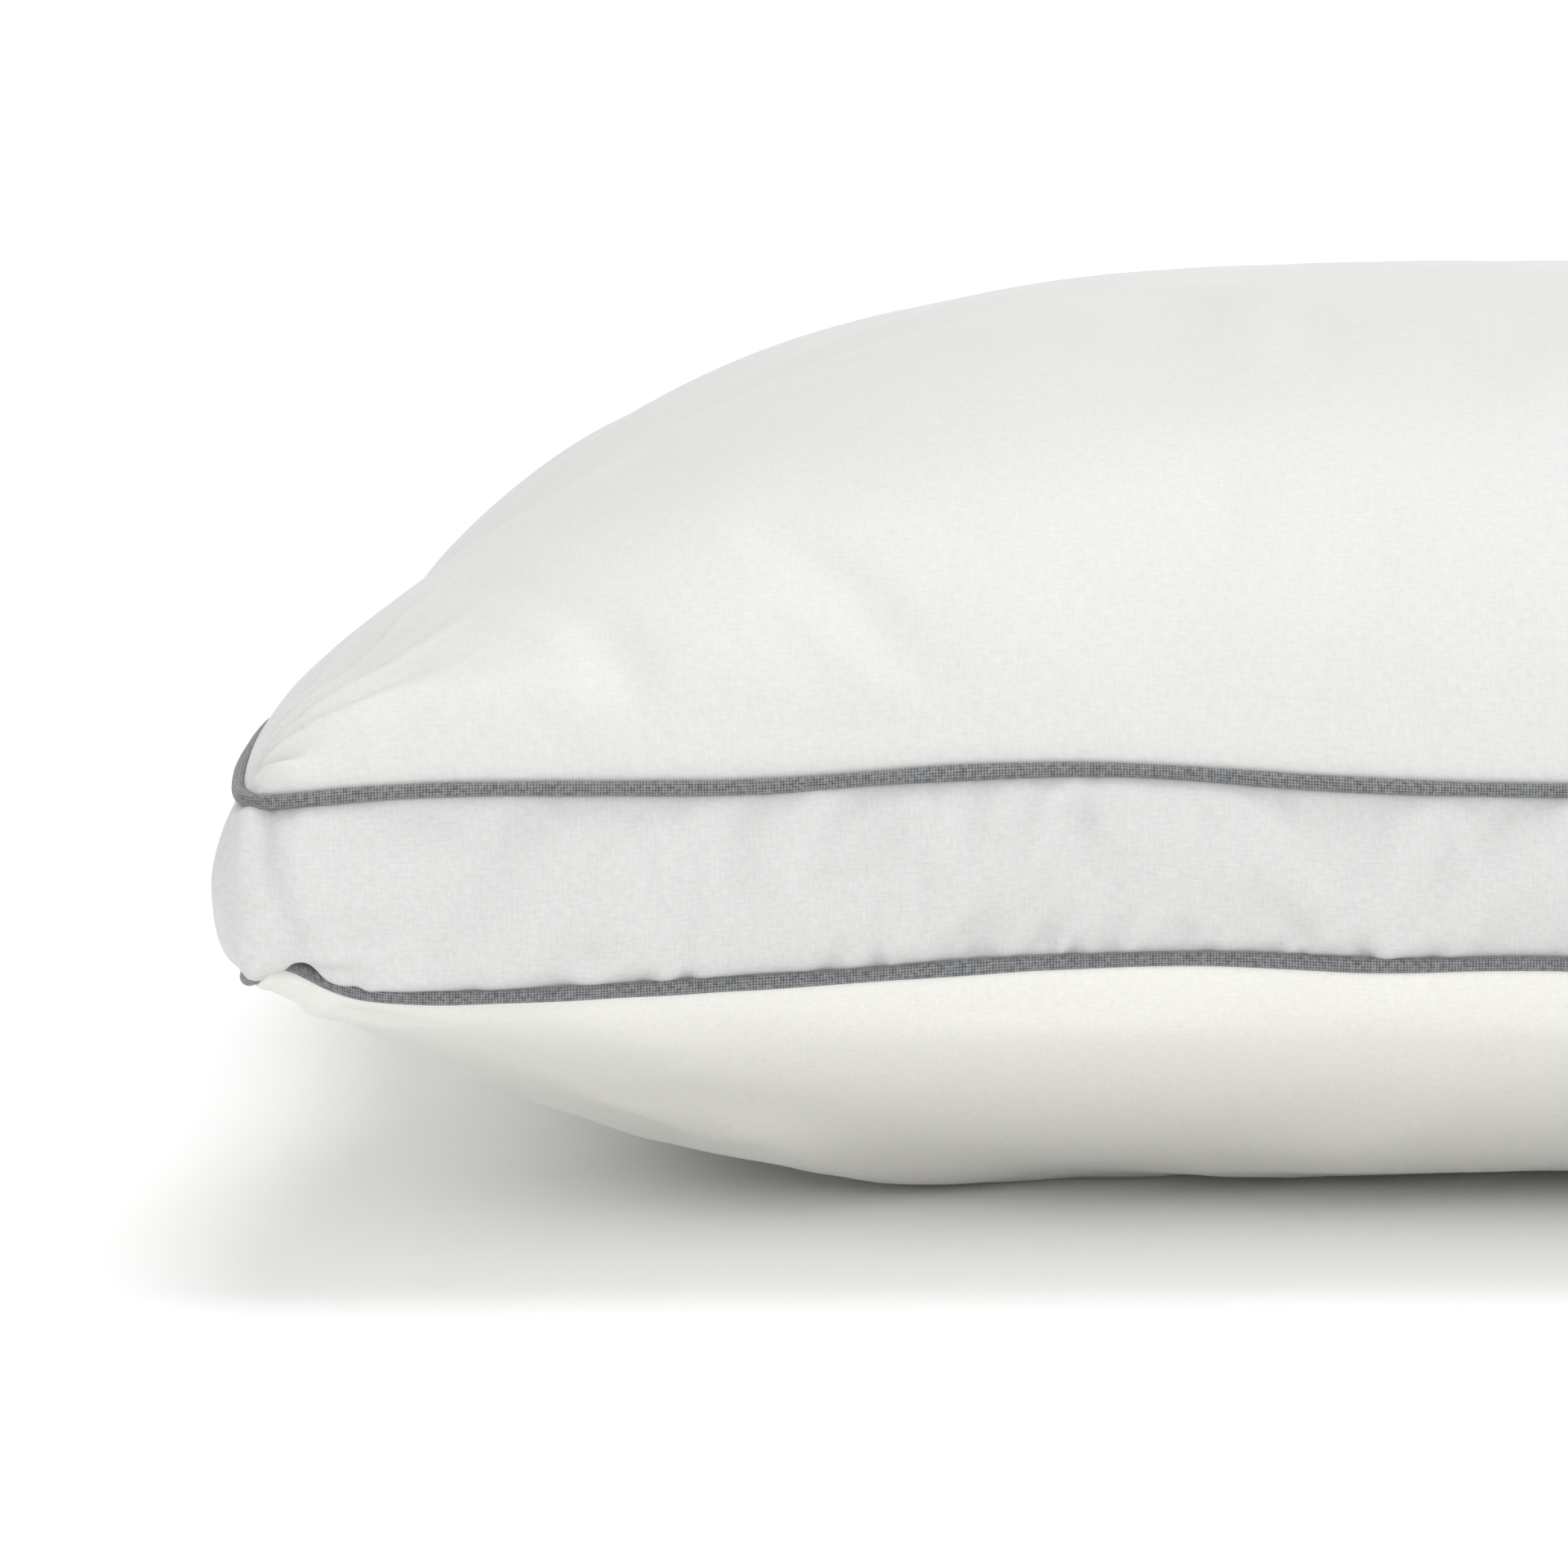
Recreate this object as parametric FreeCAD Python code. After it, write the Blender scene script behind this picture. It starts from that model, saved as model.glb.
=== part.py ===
"""Gusseted bed pillow: two domed panels and a side strip, sewn over corded piping round a fibre fill.

Frame: X along the pillow's length, Y across it, +Z up. The origin is the middle of the resting face.
Every seam lies in a plane. In a seam's section, "out" is the distance outwards from the cord's line.
"""

import FreeCAD, Part
import math
import os

Vector = FreeCAD.Vector

# ---------------------------------------------------------------- driving sizes, in millimetres
seam_length = 640.0  # corner to corner of the cord's line, along the pillow
seam_width = 446.0  # corner to corner of the cord's line, across the pillow
long_side_pull = 16.0  # how far the filling pulls the middle of a long side in
short_side_pull = 13.0  # the same for a short side
corner_radius = 16.0  # the cord's bend at each corner

bottom_depth = 60.0  # the lower seam above the surface that the pillow lies on
top_rise = 91.5  # the crown above the upper seam
crown_length = 200.0  # the nearly level part of the crown
crown_width = 120.0
rest_length = 400.0  # the flat that the pillow's weight presses into its underside
rest_width = 220.0
rest_squareness = 0.7  # 1 is an ellipse, and less is squarer
panel_start = math.radians(22.0)  # where on its quarter of an ellipse a panel's section starts

gusset_width = 39.0  # the side strip's visible width, measured along the cloth
gusset_bulge = 6.0  # how far the strip bellies out past the cord's line

fabric = 0.6  # cloth of the panels and the strip
tape = 0.5  # the piping's folded tape
piping_diameter = 3.2  # over the tape
seam_allowance = 9.0  # cloth turned in past a seam's fold
thread_diameter = 0.4
ease = 0.1  # between pieces that lie against each other

stitch_inset = 2.6  # from a seam's fold to its line of stitches
join_x = 110.0  # where the strip's two ends meet, on the back
opening_length = 220.0  # of the lower back seam, closed by hand-guided stitches after filling
opening_x = -80.0  # the middle of that opening
closing_pitch = 3.2
closing_stitch = 2.6
closing_height = 2.4  # from the strip's lower fold to the closing stitches, along the cloth

label_thickness = 0.4
label_height = 22.0
label_flap = 38.0  # what shows
label_tongue = 7.0  # what the seam holds
label_standoff = 0.3  # from the strip's belly to the flap

ring_steps = 7  # sections between a panel's edge and its tip
long_side_steps = 20  # points along a side or round a corner
short_side_steps = 16
corner_steps = 8
sewing = 0.005  # the widest gap that faces are sewn across

# ---------------------------------------------------------------- sizes that follow from those
piping_radius = piping_diameter / 2
cord_radius = piping_radius - tape - ease / 2
fold_inset = piping_radius + ease  # the folds of the panels and the strip stand against the piping
raw_inset = fold_inset + seam_allowance  # where every seam's raw edges lie
stack = tape + ease  # from a seam's plane to the cloth on each side of the tape
cloth_top = stack + fabric  # from a seam's plane to the far face of that cloth
groove = cloth_top + thread_diameter + 2 * ease  # the fill keeps this far from a seam's plane
drop = cloth_top + 2 * ease  # from a seam's plane to where the strip starts to belly out


def belly_angle(width, sagitta):
    """Half the angle of the arc that is width long and sagitta deep."""
    low, high = 0.001, math.pi
    for _ in range(60):
        middle = (low + high) / 2
        if (1 - math.cos(middle)) / (2 * middle) < sagitta / width:
            low = middle
        else:
            high = middle
    return middle


belly_half = belly_angle(gusset_width, gusset_bulge + fold_inset)
belly_radius = gusset_width / (2 * belly_half)
belly_centre = gusset_bulge - belly_radius  # out from the cord's line
lower_seam = bottom_depth
upper_seam = lower_seam + 2 * drop + 2 * belly_radius * math.sin(belly_half)
middle_height = (lower_seam + upper_seam) / 2


# ---------------------------------------------------------------- the seams' outline
def circles_cross(centre_a, radius_a, centre_b, radius_b):
    """The crossing of two circles that is nearer to the pillow's middle."""
    between = centre_b - centre_a
    along = (radius_a**2 - radius_b**2 + between.Length**2) / (2 * between.Length)
    side = math.sqrt(radius_a**2 - along**2)
    unit = between.normalize()
    foot = centre_a + unit * along
    across = Vector(-unit.y, unit.x, 0)
    return min((foot + across * side, foot - across * side), key=lambda point: point.Length)


SIDE, CORNER = 1, -1  # the sign that takes a distance inwards to a change of an arc's radius


def outline_arcs():
    """The cord's line as eight tangent arcs, anticlockwise from the right side's lower end.

    Each is (centre, radius, start angle, sweep, SIDE or CORNER). The sides curve in, so their centres
    lie outside the pillow.
    """
    half_length, half_width = seam_length / 2, seam_width / 2
    long_radius = (half_length**2 + long_side_pull**2) / (2 * long_side_pull)
    short_radius = (half_width**2 + short_side_pull**2) / (2 * short_side_pull)
    long_centre = Vector(0, half_width - long_side_pull + long_radius, 0)
    short_centre = Vector(half_length - short_side_pull + short_radius, 0, 0)
    corner = circles_cross(
        long_centre, long_radius + corner_radius, short_centre, short_radius + corner_radius
    )
    to_short, to_long = short_centre - corner, long_centre - corner
    first = math.atan2(to_short.y, to_short.x)
    last = math.atan2(to_long.y, to_long.x)
    found = []
    for turn in range(4):
        quarter = turn * math.pi / 2
        radius, half = (short_radius, -first) if turn % 2 == 0 else (long_radius, last - math.pi / 2)
        reach = (short_centre.x, long_centre.y)[turn % 2]
        centre = Vector(reach * math.cos(quarter), reach * math.sin(quarter), 0)
        found.append((centre, radius, quarter + math.pi + half, -2 * half, SIDE))
        turned = Vector(
            math.copysign(corner.x, math.cos(quarter + math.pi / 4)),
            math.copysign(corner.y, math.sin(quarter + math.pi / 4)),
            0,
        )
        found.append((turned, corner_radius, quarter - half, last - first, CORNER))
    return found


def on_arc(arc, angle, inset=0.0, height=0.0):
    """A point of an arc, moved inwards by inset and raised to height."""
    centre, radius, _, _, inward = arc
    reach = radius + inward * inset
    return centre + Vector(reach * math.cos(angle), reach * math.sin(angle), height)


arcs = outline_arcs()
arc_steps = [short_side_steps, corner_steps, long_side_steps, corner_steps] * 2


def arc_shares(arc, steps):
    """How far along an arc its points lie, from 0 to 1. On a side they close up towards the corners."""
    if arc[4] == CORNER:
        return [step / steps for step in range(steps + 1)]
    return [(1 - math.cos(math.pi * step / steps)) / 2 for step in range(steps + 1)]


def outline_points(inset, height):
    """Points round the outline, moved inwards by inset, that run the same way for every inset."""
    points = []
    for arc, steps in zip(arcs, arc_steps):
        for share in arc_shares(arc, steps)[:-1]:
            points.append(on_arc(arc, arc[2] + arc[3] * share, inset, height))
    return points


def outline_knots():
    """How far round the outline each of those points lies, from 0 to 1."""
    total, reached = 0.0, [0.0]
    for arc, steps in zip(arcs, arc_steps):
        length = abs(arc[1] * arc[3])
        reached += [total + length * share for share in arc_shares(arc, steps)[1:]]
        total += length
    return [knot / total for knot in reached]


knots = outline_knots()


def oval_points(length, width, squareness, height):
    """Points round an oval, one for each of the outline's points."""
    points = []
    for point in outline_points(0.0, height):
        angle = math.atan2(point.y / seam_width, point.x / seam_length)
        east, north = math.cos(angle), math.sin(angle)
        x = math.copysign(abs(east) ** squareness, east) * length / 2
        y = math.copysign(abs(north) ** squareness, north) * width / 2
        points.append(Vector(x, y, height))
    return points


def ring_wire(points):
    """A smooth closed wire through points."""
    curve = Part.BSplineCurve()
    curve.interpolate(Points=points, PeriodicFlag=True, Parameters=knots)
    return Part.Wire(curve.toShape())


def solid_through(runs):
    """A solid whose skin passes through runs of rings, each run starting where the last one ended.

    A run of two rings is straight between them, and a longer one is smooth. The first ring and the
    last are closed with flat faces.
    """
    faces = [Part.Face(ring_wire(runs[0][0])), Part.Face(ring_wire(runs[-1][-1]))]
    for run in runs:
        wires = [ring_wire(ring) for ring in run]
        faces += Part.makeLoft(wires, False, len(run) == 2).Faces
    skin = Part.makeCompound(faces)
    skin.sewShape(sewing)
    solid = Part.Solid(skin.Shells[0])
    return solid if solid.Volume > 0 else solid.reversed()


# ---------------------------------------------------------------- rings of constant section
def place_section(arc, angle, edges):
    """A seam's section, given as lines and arcs of (out, height), stood up on an arc of the outline."""
    shapes = []
    for edge in edges:
        points = [on_arc(arc, angle, -out, height) for out, height in edge]
        shape = Part.LineSegment(*points) if len(points) == 2 else Part.Arc(*points)
        shapes.append(shape.toShape())
    return Part.Face(Part.Wire(shapes))


def round_section(radius, out, height):
    """A circle as two arcs."""
    right, left = (out + radius, height), (out - radius, height)
    return [(right, (out, height + radius), left), (left, (out, height - radius), right)]


def swept_ring(edges):
    """A section carried round the whole outline."""
    parts = []
    for arc in arcs:
        face = place_section(arc, arc[2], edges)
        parts.append(face.revolve(arc[0], Vector(0, 0, 1), math.degrees(arc[3])))
    return parts[0].multiFuse(parts[1:]).removeSplitter()


# ---------------------------------------------------------------- the domed panels
def dome_rings(seam_plane, side, rise, tip, inset, start):
    """Rings up a panel's surface, moved in by inset, from the height start over the fold to the tip.

    side is 1 for a panel above its seam and -1 for one below. The panel's section is part of a
    quarter of an ellipse, from the fold to a level tip.
    """
    height = rise - stack
    rings = []
    for step in range(ring_steps + 1):
        angle = panel_start + (math.pi / 2 - panel_start) * step / ring_steps
        run = (math.cos(panel_start) - math.cos(angle)) / math.cos(panel_start)
        lift = height * (math.sin(angle) - math.sin(panel_start)) / (1 - math.sin(panel_start))
        ring = []
        for edge, end in zip(outline_points(fold_inset, 0), tip):
            across = end - edge
            level = across.Length * math.sin(angle) / math.cos(panel_start)
            steep = height * math.cos(angle) / (1 - math.sin(panel_start))
            slope = math.hypot(level, steep)
            inwards, upwards = inset * steep / slope, -inset * level / slope
            if step == 0:
                inwards += (start - upwards) * level / steep
                upwards = start
            place = edge + across * (run + inwards / across.Length)
            rise_here = seam_plane + side * (stack + lift + upwards)
            ring.append(Vector(place.x, place.y, rise_here))
        rings.append(ring)
    return rings


def panel(seam_plane, side, rise, tip):
    """A domed panel of cloth, with the allowance that its seam turns in."""
    outside = dome_rings(seam_plane, side, rise, tip, 0.0, 0.0)
    inside = dome_rings(seam_plane, side, rise, tip, fabric, fabric)
    raw_near = outline_points(raw_inset, seam_plane + side * stack)
    raw_far = outline_points(raw_inset, seam_plane + side * cloth_top)
    return solid_through(
        [
            outside[::-1],
            [outside[0], raw_near],
            [raw_near, raw_far],
            [raw_far, inside[0]],
            inside,
        ]
    )


crown = oval_points(crown_length, crown_width, 1.0, 0.0)
rest = oval_points(rest_length, rest_width, rest_squareness, 0.0)


def top_panel():
    """The panel that the head lies on."""
    return panel(upper_seam, 1, top_rise, crown)


def bottom_panel():
    """The panel that the pillow lies on, with its flat at height 0."""
    return panel(lower_seam, -1, bottom_depth, rest)


# ---------------------------------------------------------------- the side strip
def belly_point(angle, depth=0.0):
    """(out, height) of a point in the strip's belly: angle up from its middle, depth under its face."""
    reach = belly_radius - depth
    return (belly_centre + reach * math.cos(angle), middle_height + reach * math.sin(angle))


def gusset_join_place():
    """Where on the back side's arc the strip's ends meet."""
    back = arcs[2]
    return back, -math.acos((join_x - back[0].x) / back[1])


def gusset_strip():
    """The strip between the seams: its belly, both allowances, and its two ends turned in."""
    top, bottom = upper_seam - stack, lower_seam + stack
    top_in, bottom_in = upper_seam - cloth_top, lower_seam + cloth_top
    fold, wall, raw = -fold_inset, -fold_inset - fabric, -raw_inset
    inner_half = math.acos((wall - belly_centre) / (belly_radius - fabric))
    edges = [
        ((fold, top), belly_point(belly_half)),
        (belly_point(belly_half), belly_point(0), belly_point(-belly_half)),
        (belly_point(-belly_half), (fold, bottom)),
        ((fold, bottom), (raw, bottom)),
        ((raw, bottom), (raw, bottom_in)),
        ((raw, bottom_in), (wall, bottom_in)),
        ((wall, bottom_in), belly_point(-inner_half, fabric)),
        (
            belly_point(-inner_half, fabric),
            belly_point(0, fabric),
            belly_point(inner_half, fabric),
        ),
        (belly_point(inner_half, fabric), (wall, top_in)),
        ((wall, top_in), (raw, top_in)),
        ((raw, top_in), (raw, top)),
        ((raw, top), (fold, top)),
    ]
    strip = swept_ring(edges)
    arc, angle = gusset_join_place()
    tab_half = math.asin(((upper_seam - lower_seam) / 2 - groove) / (belly_radius - fabric / 2))
    upper_end, lower_end = belly_point(tab_half, fabric / 2), belly_point(-tab_half, fabric / 2)
    tab = [
        (upper_end, belly_point(0, fabric / 2), lower_end),
        (lower_end, (raw, lower_end[1])),
        ((raw, lower_end[1]), (raw, upper_end[1])),
        ((raw, upper_end[1]), upper_end),
    ]
    slit = label_thickness + 2 * ease
    width = slit + 2 * fabric
    tangent = Vector(-math.sin(angle), math.cos(angle), 0)
    ends = place_section(arc, angle, tab).translated(tangent * (-width / 2)).extrude(tangent * width)
    reach = gusset_bulge + raw_inset
    gap = Part.makeBox(slit, 2 * reach, upper_seam - lower_seam, Vector(-slit / 2, -reach, lower_seam))
    return strip.fuse(ends).cut(at_join(gap)).removeSplitter()


def join_turn(angle):
    """Turns +Y to point inwards at the strip's join."""
    return FreeCAD.Rotation(Vector(0, 0, 1), math.degrees(angle) - 90)


def at_join(shape):
    """Moves a shape made about the origin, with -Y inwards, to the strip's join."""
    arc, angle = gusset_join_place()
    shape.Placement = FreeCAD.Placement(on_arc(arc, angle), join_turn(angle + math.pi))
    return shape


# ---------------------------------------------------------------- the piping
def piping_tape(seam_plane):
    """The tape round the cord, with both its edges carried into the seam."""
    flat = math.sqrt(piping_radius**2 - tape**2)
    edges = [
        ((-flat, seam_plane + tape), (piping_radius, seam_plane), (-flat, seam_plane - tape)),
        ((-flat, seam_plane - tape), (-raw_inset, seam_plane - tape)),
        ((-raw_inset, seam_plane - tape), (-raw_inset, seam_plane + tape)),
        ((-raw_inset, seam_plane + tape), (-flat, seam_plane + tape)),
    ]
    bore = swept_ring(round_section(piping_radius - tape, 0.0, seam_plane))
    return swept_ring(edges).cut(bore)


def piping_cord(seam_plane):
    """The filler cord inside the tape."""
    return swept_ring(round_section(cord_radius, 0.0, seam_plane))


# ---------------------------------------------------------------- threads
def seam_thread(seam_plane, side):
    """One of a lockstitch's two threads, lying on the seam's allowances above or below its plane."""
    height = seam_plane + side * (cloth_top + (thread_diameter + ease) / 2)
    return swept_ring(round_section(thread_diameter / 2, -fold_inset - stitch_inset, height))


def gusset_join_thread():
    """The two threads of the upright seam that joins the strip's ends."""
    out = (label_thickness + thread_diameter + 3 * ease) / 2 + fabric
    low, high = lower_seam + groove, upper_seam - groove
    place = Vector(0, -fold_inset - fabric - stitch_inset, low)
    threads = [
        Part.makeCylinder(thread_diameter / 2, high - low, place + Vector(x, 0, 0))
        for x in (-out, out)
    ]
    return at_join(Part.makeCompound(threads))


def capsule(length, diameter):
    """A stitch: a round bar along X with domed ends."""
    radius = diameter / 2
    half = length / 2 - radius
    edges = [
        Part.LineSegment(Vector(-half - radius, 0, 0), Vector(half + radius, 0, 0)).toShape(),
        Part.Arc(
            Vector(half + radius, 0, 0),
            Vector(half + radius * math.sqrt(0.5), radius * math.sqrt(0.5), 0),
            Vector(half, radius, 0),
        ).toShape(),
        Part.LineSegment(Vector(half, radius, 0), Vector(-half, radius, 0)).toShape(),
        Part.Arc(
            Vector(-half, radius, 0),
            Vector(-half - radius * math.sqrt(0.5), radius * math.sqrt(0.5), 0),
            Vector(-half - radius, 0, 0),
        ).toShape(),
    ]
    return Part.Face(Part.Wire(edges)).revolve(Vector(), Vector(1, 0, 0), 360)


def closing_stitches():
    """The stitches that close the opening in the lower back seam, on the face of the strip."""
    back = arcs[2]
    angle = closing_height / belly_radius - belly_half
    out, height = belly_point(angle, -thread_diameter / 2 - ease / 2)
    count = int(opening_length / closing_pitch)
    stitches = []
    for index in range(count):
        x = opening_x + (index - (count - 1) / 2) * closing_pitch
        turn = -math.acos((x - back[0].x) / back[1])
        stitch = capsule(closing_stitch, thread_diameter)
        stitch.Placement = FreeCAD.Placement(
            on_arc(back, turn, -out) + Vector(0, 0, height), join_turn(turn)
        )
        stitches.append(stitch)
    return Part.makeCompound(stitches)


# ---------------------------------------------------------------- label and fill
def care_label():
    """A blank label held in the strip's join, its flap turned flat along the strip."""
    low = middle_height - label_height / 2
    face = gusset_bulge + label_standoff
    inner = -fold_inset - label_tongue
    tongue = Part.makeBox(
        label_thickness,
        face + label_thickness - inner,
        label_height,
        Vector(-label_thickness / 2, inner, low),
    )
    flap = Part.makeBox(
        label_flap, label_thickness, label_height, Vector(-label_thickness / 2, face, low)
    )
    return at_join(tongue.fuse(flap).removeSplitter())


def fibre_fill():
    """The filling: it fills both panels and the strip, and is grooved where the seams reach in."""
    skin = fabric + ease
    start = groove - stack
    upper = dome_rings(upper_seam, 1, top_rise, crown, skin, start)
    lower = dome_rings(lower_seam, -1, bottom_depth, rest, skin, start)
    low, high = lower_seam + groove, upper_seam - groove
    band = []
    for step in range(ring_steps + 1):
        height = low + (high - low) * step / ring_steps
        reach = belly_radius - skin
        out = belly_centre + math.sqrt(reach**2 - (height - middle_height) ** 2)
        band.append(outline_points(-out, height))
    neck = raw_inset + ease
    necks = [
        outline_points(neck, height)
        for height in (lower_seam - groove, low, high, upper_seam + groove)
    ]
    fill = solid_through(
        [
            lower[::-1],
            [lower[0], necks[0]],
            [necks[0], necks[1]],
            [necks[1], band[0]],
            band,
            [band[-1], necks[2]],
            [necks[2], necks[3]],
            [necks[3], upper[0]],
            upper,
        ]
    )
    half = label_thickness / 2 + fabric + thread_diameter + 3 * ease
    pocket = Part.makeBox(2 * half, neck + gusset_bulge, high - low, Vector(-half, -neck, low))
    return fill.cut(at_join(pocket))


# ---------------------------------------------------------------- the assembly
def build():
    """Makes every piece by name."""
    return {
        "top_panel": top_panel(),
        "bottom_panel": bottom_panel(),
        "gusset_strip": gusset_strip(),
        "upper_piping_tape": piping_tape(upper_seam),
        "upper_piping_cord": piping_cord(upper_seam),
        "lower_piping_tape": piping_tape(lower_seam),
        "lower_piping_cord": piping_cord(lower_seam),
        "upper_seam_needle_thread": seam_thread(upper_seam, 1),
        "upper_seam_bobbin_thread": seam_thread(upper_seam, -1),
        "lower_seam_needle_thread": seam_thread(lower_seam, 1),
        "lower_seam_bobbin_thread": seam_thread(lower_seam, -1),
        "gusset_join_thread": gusset_join_thread(),
        "closing_stitches": closing_stitches(),
        "care_label": care_label(),
        "fibre_fill": fibre_fill(),
    }


def main():
    """Writes each piece to parts/NODE.step."""
    os.makedirs("parts", exist_ok=True)
    for name, shape in build().items():
        shape.exportStep(f"parts/{name}.step")
        box = shape.BoundBox
        print(
            f"{name}: {len(shape.Solids)} solids, valid {shape.isValid()}, {shape.Volume:.1f} mm3,"
            f" X {box.XMin:.1f} {box.XMax:.1f} Y {box.YMin:.1f} {box.YMax:.1f}"
            f" Z {box.ZMin:.1f} {box.ZMax:.1f}"
        )


main()
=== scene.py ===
"""A gusseted bed pillow: sateen panels and side strip, grey corded piping, and what is sewn inside."""

import logging
import math
from dataclasses import dataclass, field
from enum import Enum

import bmesh
import bpy
import numpy as np
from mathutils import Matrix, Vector


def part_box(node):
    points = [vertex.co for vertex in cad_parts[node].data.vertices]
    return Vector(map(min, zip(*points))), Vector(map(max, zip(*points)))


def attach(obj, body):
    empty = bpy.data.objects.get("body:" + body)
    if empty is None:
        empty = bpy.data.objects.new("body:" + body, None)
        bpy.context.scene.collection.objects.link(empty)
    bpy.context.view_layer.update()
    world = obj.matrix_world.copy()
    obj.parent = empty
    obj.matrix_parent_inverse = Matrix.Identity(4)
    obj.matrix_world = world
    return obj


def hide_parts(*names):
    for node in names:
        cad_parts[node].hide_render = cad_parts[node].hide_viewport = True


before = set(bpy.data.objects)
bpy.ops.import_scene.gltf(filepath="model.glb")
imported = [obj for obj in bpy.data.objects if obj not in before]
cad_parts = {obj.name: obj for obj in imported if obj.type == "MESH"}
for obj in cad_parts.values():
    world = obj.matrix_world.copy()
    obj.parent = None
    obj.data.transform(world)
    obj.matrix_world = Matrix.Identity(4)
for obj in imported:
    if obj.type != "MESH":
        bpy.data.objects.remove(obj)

Array = np.ndarray
MM = 0.001
BODY = "root"
log = logging.getLogger("pillow")


# ---------------------------------------------------------------------------------------- helpers
def linear(colour: str) -> tuple[float, float, float, float]:
    """Turns an sRGB hex colour to linear.

    Args:
        colour: six hex digits, with or without a leading #.

    Returns:
        Red, green, blue and alpha, as Blender's sockets take them.
    """
    digits = colour.lstrip("#")
    parts = [int(digits[i : i + 2], 16) / 255 for i in (0, 2, 4)]
    straight = [p / 12.92 if p <= 0.04045 else ((p + 0.055) / 1.055) ** 2.4 for p in parts]
    return (*straight, 1.0)


def add_node(tree: bpy.types.NodeTree, kind: str, inputs: dict | None = None, **settings) -> bpy.types.Node:
    """Adds a node with its settings, and sets or links its inputs.

    Args:
        tree: the material's node tree.
        kind: the node's type name.
        inputs: socket name or number to a plain value, or to the socket to link from.
        settings: the node's own properties.

    Returns:
        The new node.
    """
    node = tree.nodes.new(kind)
    for name, value in settings.items():
        setattr(node, name, value)
    for name, value in (inputs or {}).items():
        if isinstance(value, bpy.types.NodeSocket):
            tree.links.new(value, node.inputs[name])
        else:
            node.inputs[name].default_value = value
    return node


def blank_material(name: str) -> tuple[bpy.types.Material, bpy.types.NodeTree]:
    """Makes a material that has no nodes yet.

    Args:
        name: the material's name.

    Returns:
        The material and its node tree.
    """
    material = bpy.data.materials.new(name)
    material.use_nodes = True
    material.node_tree.nodes.clear()
    return material, material.node_tree


def smooth_step(value: Array | float, low: float, high: float) -> Array:
    """Rises smoothly from 0 at low to 1 at high."""
    t = np.clip((value - low) / (high - low), 0.0, 1.0)
    return t * t * (3 - 2 * t)


def bump_at(value: Array | float, centre: float, spread: float) -> Array:
    """A rounded bump that is 1 at centre and dies away over spread."""
    return np.exp(-(((value - centre) / spread) ** 2))


def around(values: Array, spread: float) -> Array:
    """Smooths rows that run round a closed line.

    Args:
        values: one row for each point of the closed line.
        spread: the Gaussian's width, in points.

    Returns:
        The smoothed rows.
    """
    count = len(values)
    wave = np.fft.rfftfreq(count) * 2 * np.pi
    keep = np.exp(-0.5 * (wave * spread) ** 2)
    return np.fft.irfft(np.fft.rfft(values, axis=0) * keep[:, None], n=count, axis=0)


def unit(vectors: Array) -> Array:
    """Scales vectors to length 1."""
    return vectors / np.maximum(np.linalg.norm(vectors, axis=-1, keepdims=True), 1e-12)


def grid_normals(points: Array, closed: bool = False) -> Array:
    """Works out the normals of a grid of points.

    Args:
        points: rows by columns by 3.
        closed: whether the last row joins the first.

    Returns:
        Unit normals, as many as the points.
    """
    if closed:
        along = np.roll(points, -1, 0) - np.roll(points, 1, 0)
    else:
        along = np.gradient(points, axis=0)
    return unit(np.cross(along, np.gradient(points, axis=1)))


def grid_object(
    name: str, points: Array, cloth: Array, closed: bool = False, tube: bool = False
) -> bpy.types.Object:
    """Makes a mesh object from a grid of points.

    Args:
        name: the object's name.
        points: rows by columns by 3, in metres.
        cloth: rows by columns by 2, each point's place on the flat cloth, in metres.
        closed: whether the last row joins the first.
        tube: whether the last column joins the first.

    Returns:
        The object, linked to the scene and shaded smooth.
    """
    rows, columns = points.shape[:2]
    row, column = np.meshgrid(
        np.arange(rows if closed else rows - 1),
        np.arange(columns if tube else columns - 1),
        indexing="ij",
    )
    row, column = row.ravel(), column.ravel()
    corner_rows = np.stack([row, row + 1, row + 1, row], 1)
    corner_columns = np.stack([column, column, column + 1, column + 1], 1)
    faces = (corner_rows % rows) * columns + corner_columns % columns
    mesh = bpy.data.meshes.new(name)
    mesh.vertices.add(rows * columns)
    mesh.vertices.foreach_set("co", points.astype(np.float32).ravel())
    mesh.loops.add(faces.size)
    mesh.loops.foreach_set("vertex_index", faces.astype(np.int32).ravel())
    mesh.polygons.add(len(faces))
    mesh.polygons.foreach_set("loop_start", np.arange(0, faces.size, 4, dtype=np.int32))
    step_row = cloth[1, 0] - cloth[0, 0]
    step_column = cloth[0, 1] - cloth[0, 0]
    places = cloth[corner_rows % rows, corner_columns % columns]
    places = places + (corner_rows >= rows)[..., None] * step_row * rows
    places = places + (corner_columns >= columns)[..., None] * step_column * columns
    layer = mesh.uv_layers.new(name="cloth")
    layer.data.foreach_set("uv", places.astype(np.float32).ravel())
    mesh.update(calc_edges=True)
    mesh.validate()
    mesh.shade_smooth()
    piece = bpy.data.objects.new(name, mesh)
    bpy.context.scene.collection.objects.link(piece)
    return piece


def join_pieces(parts: list[bpy.types.Object]) -> bpy.types.Object:
    """Joins objects into one.

    Args:
        parts: the objects.

    Returns:
        The first of them, which then holds them all.
    """
    with bpy.context.temp_override(
        active_object=parts[0], object=parts[0], selected_objects=parts, selected_editable_objects=parts
    ):
        bpy.ops.object.join()
    return parts[0]


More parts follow.
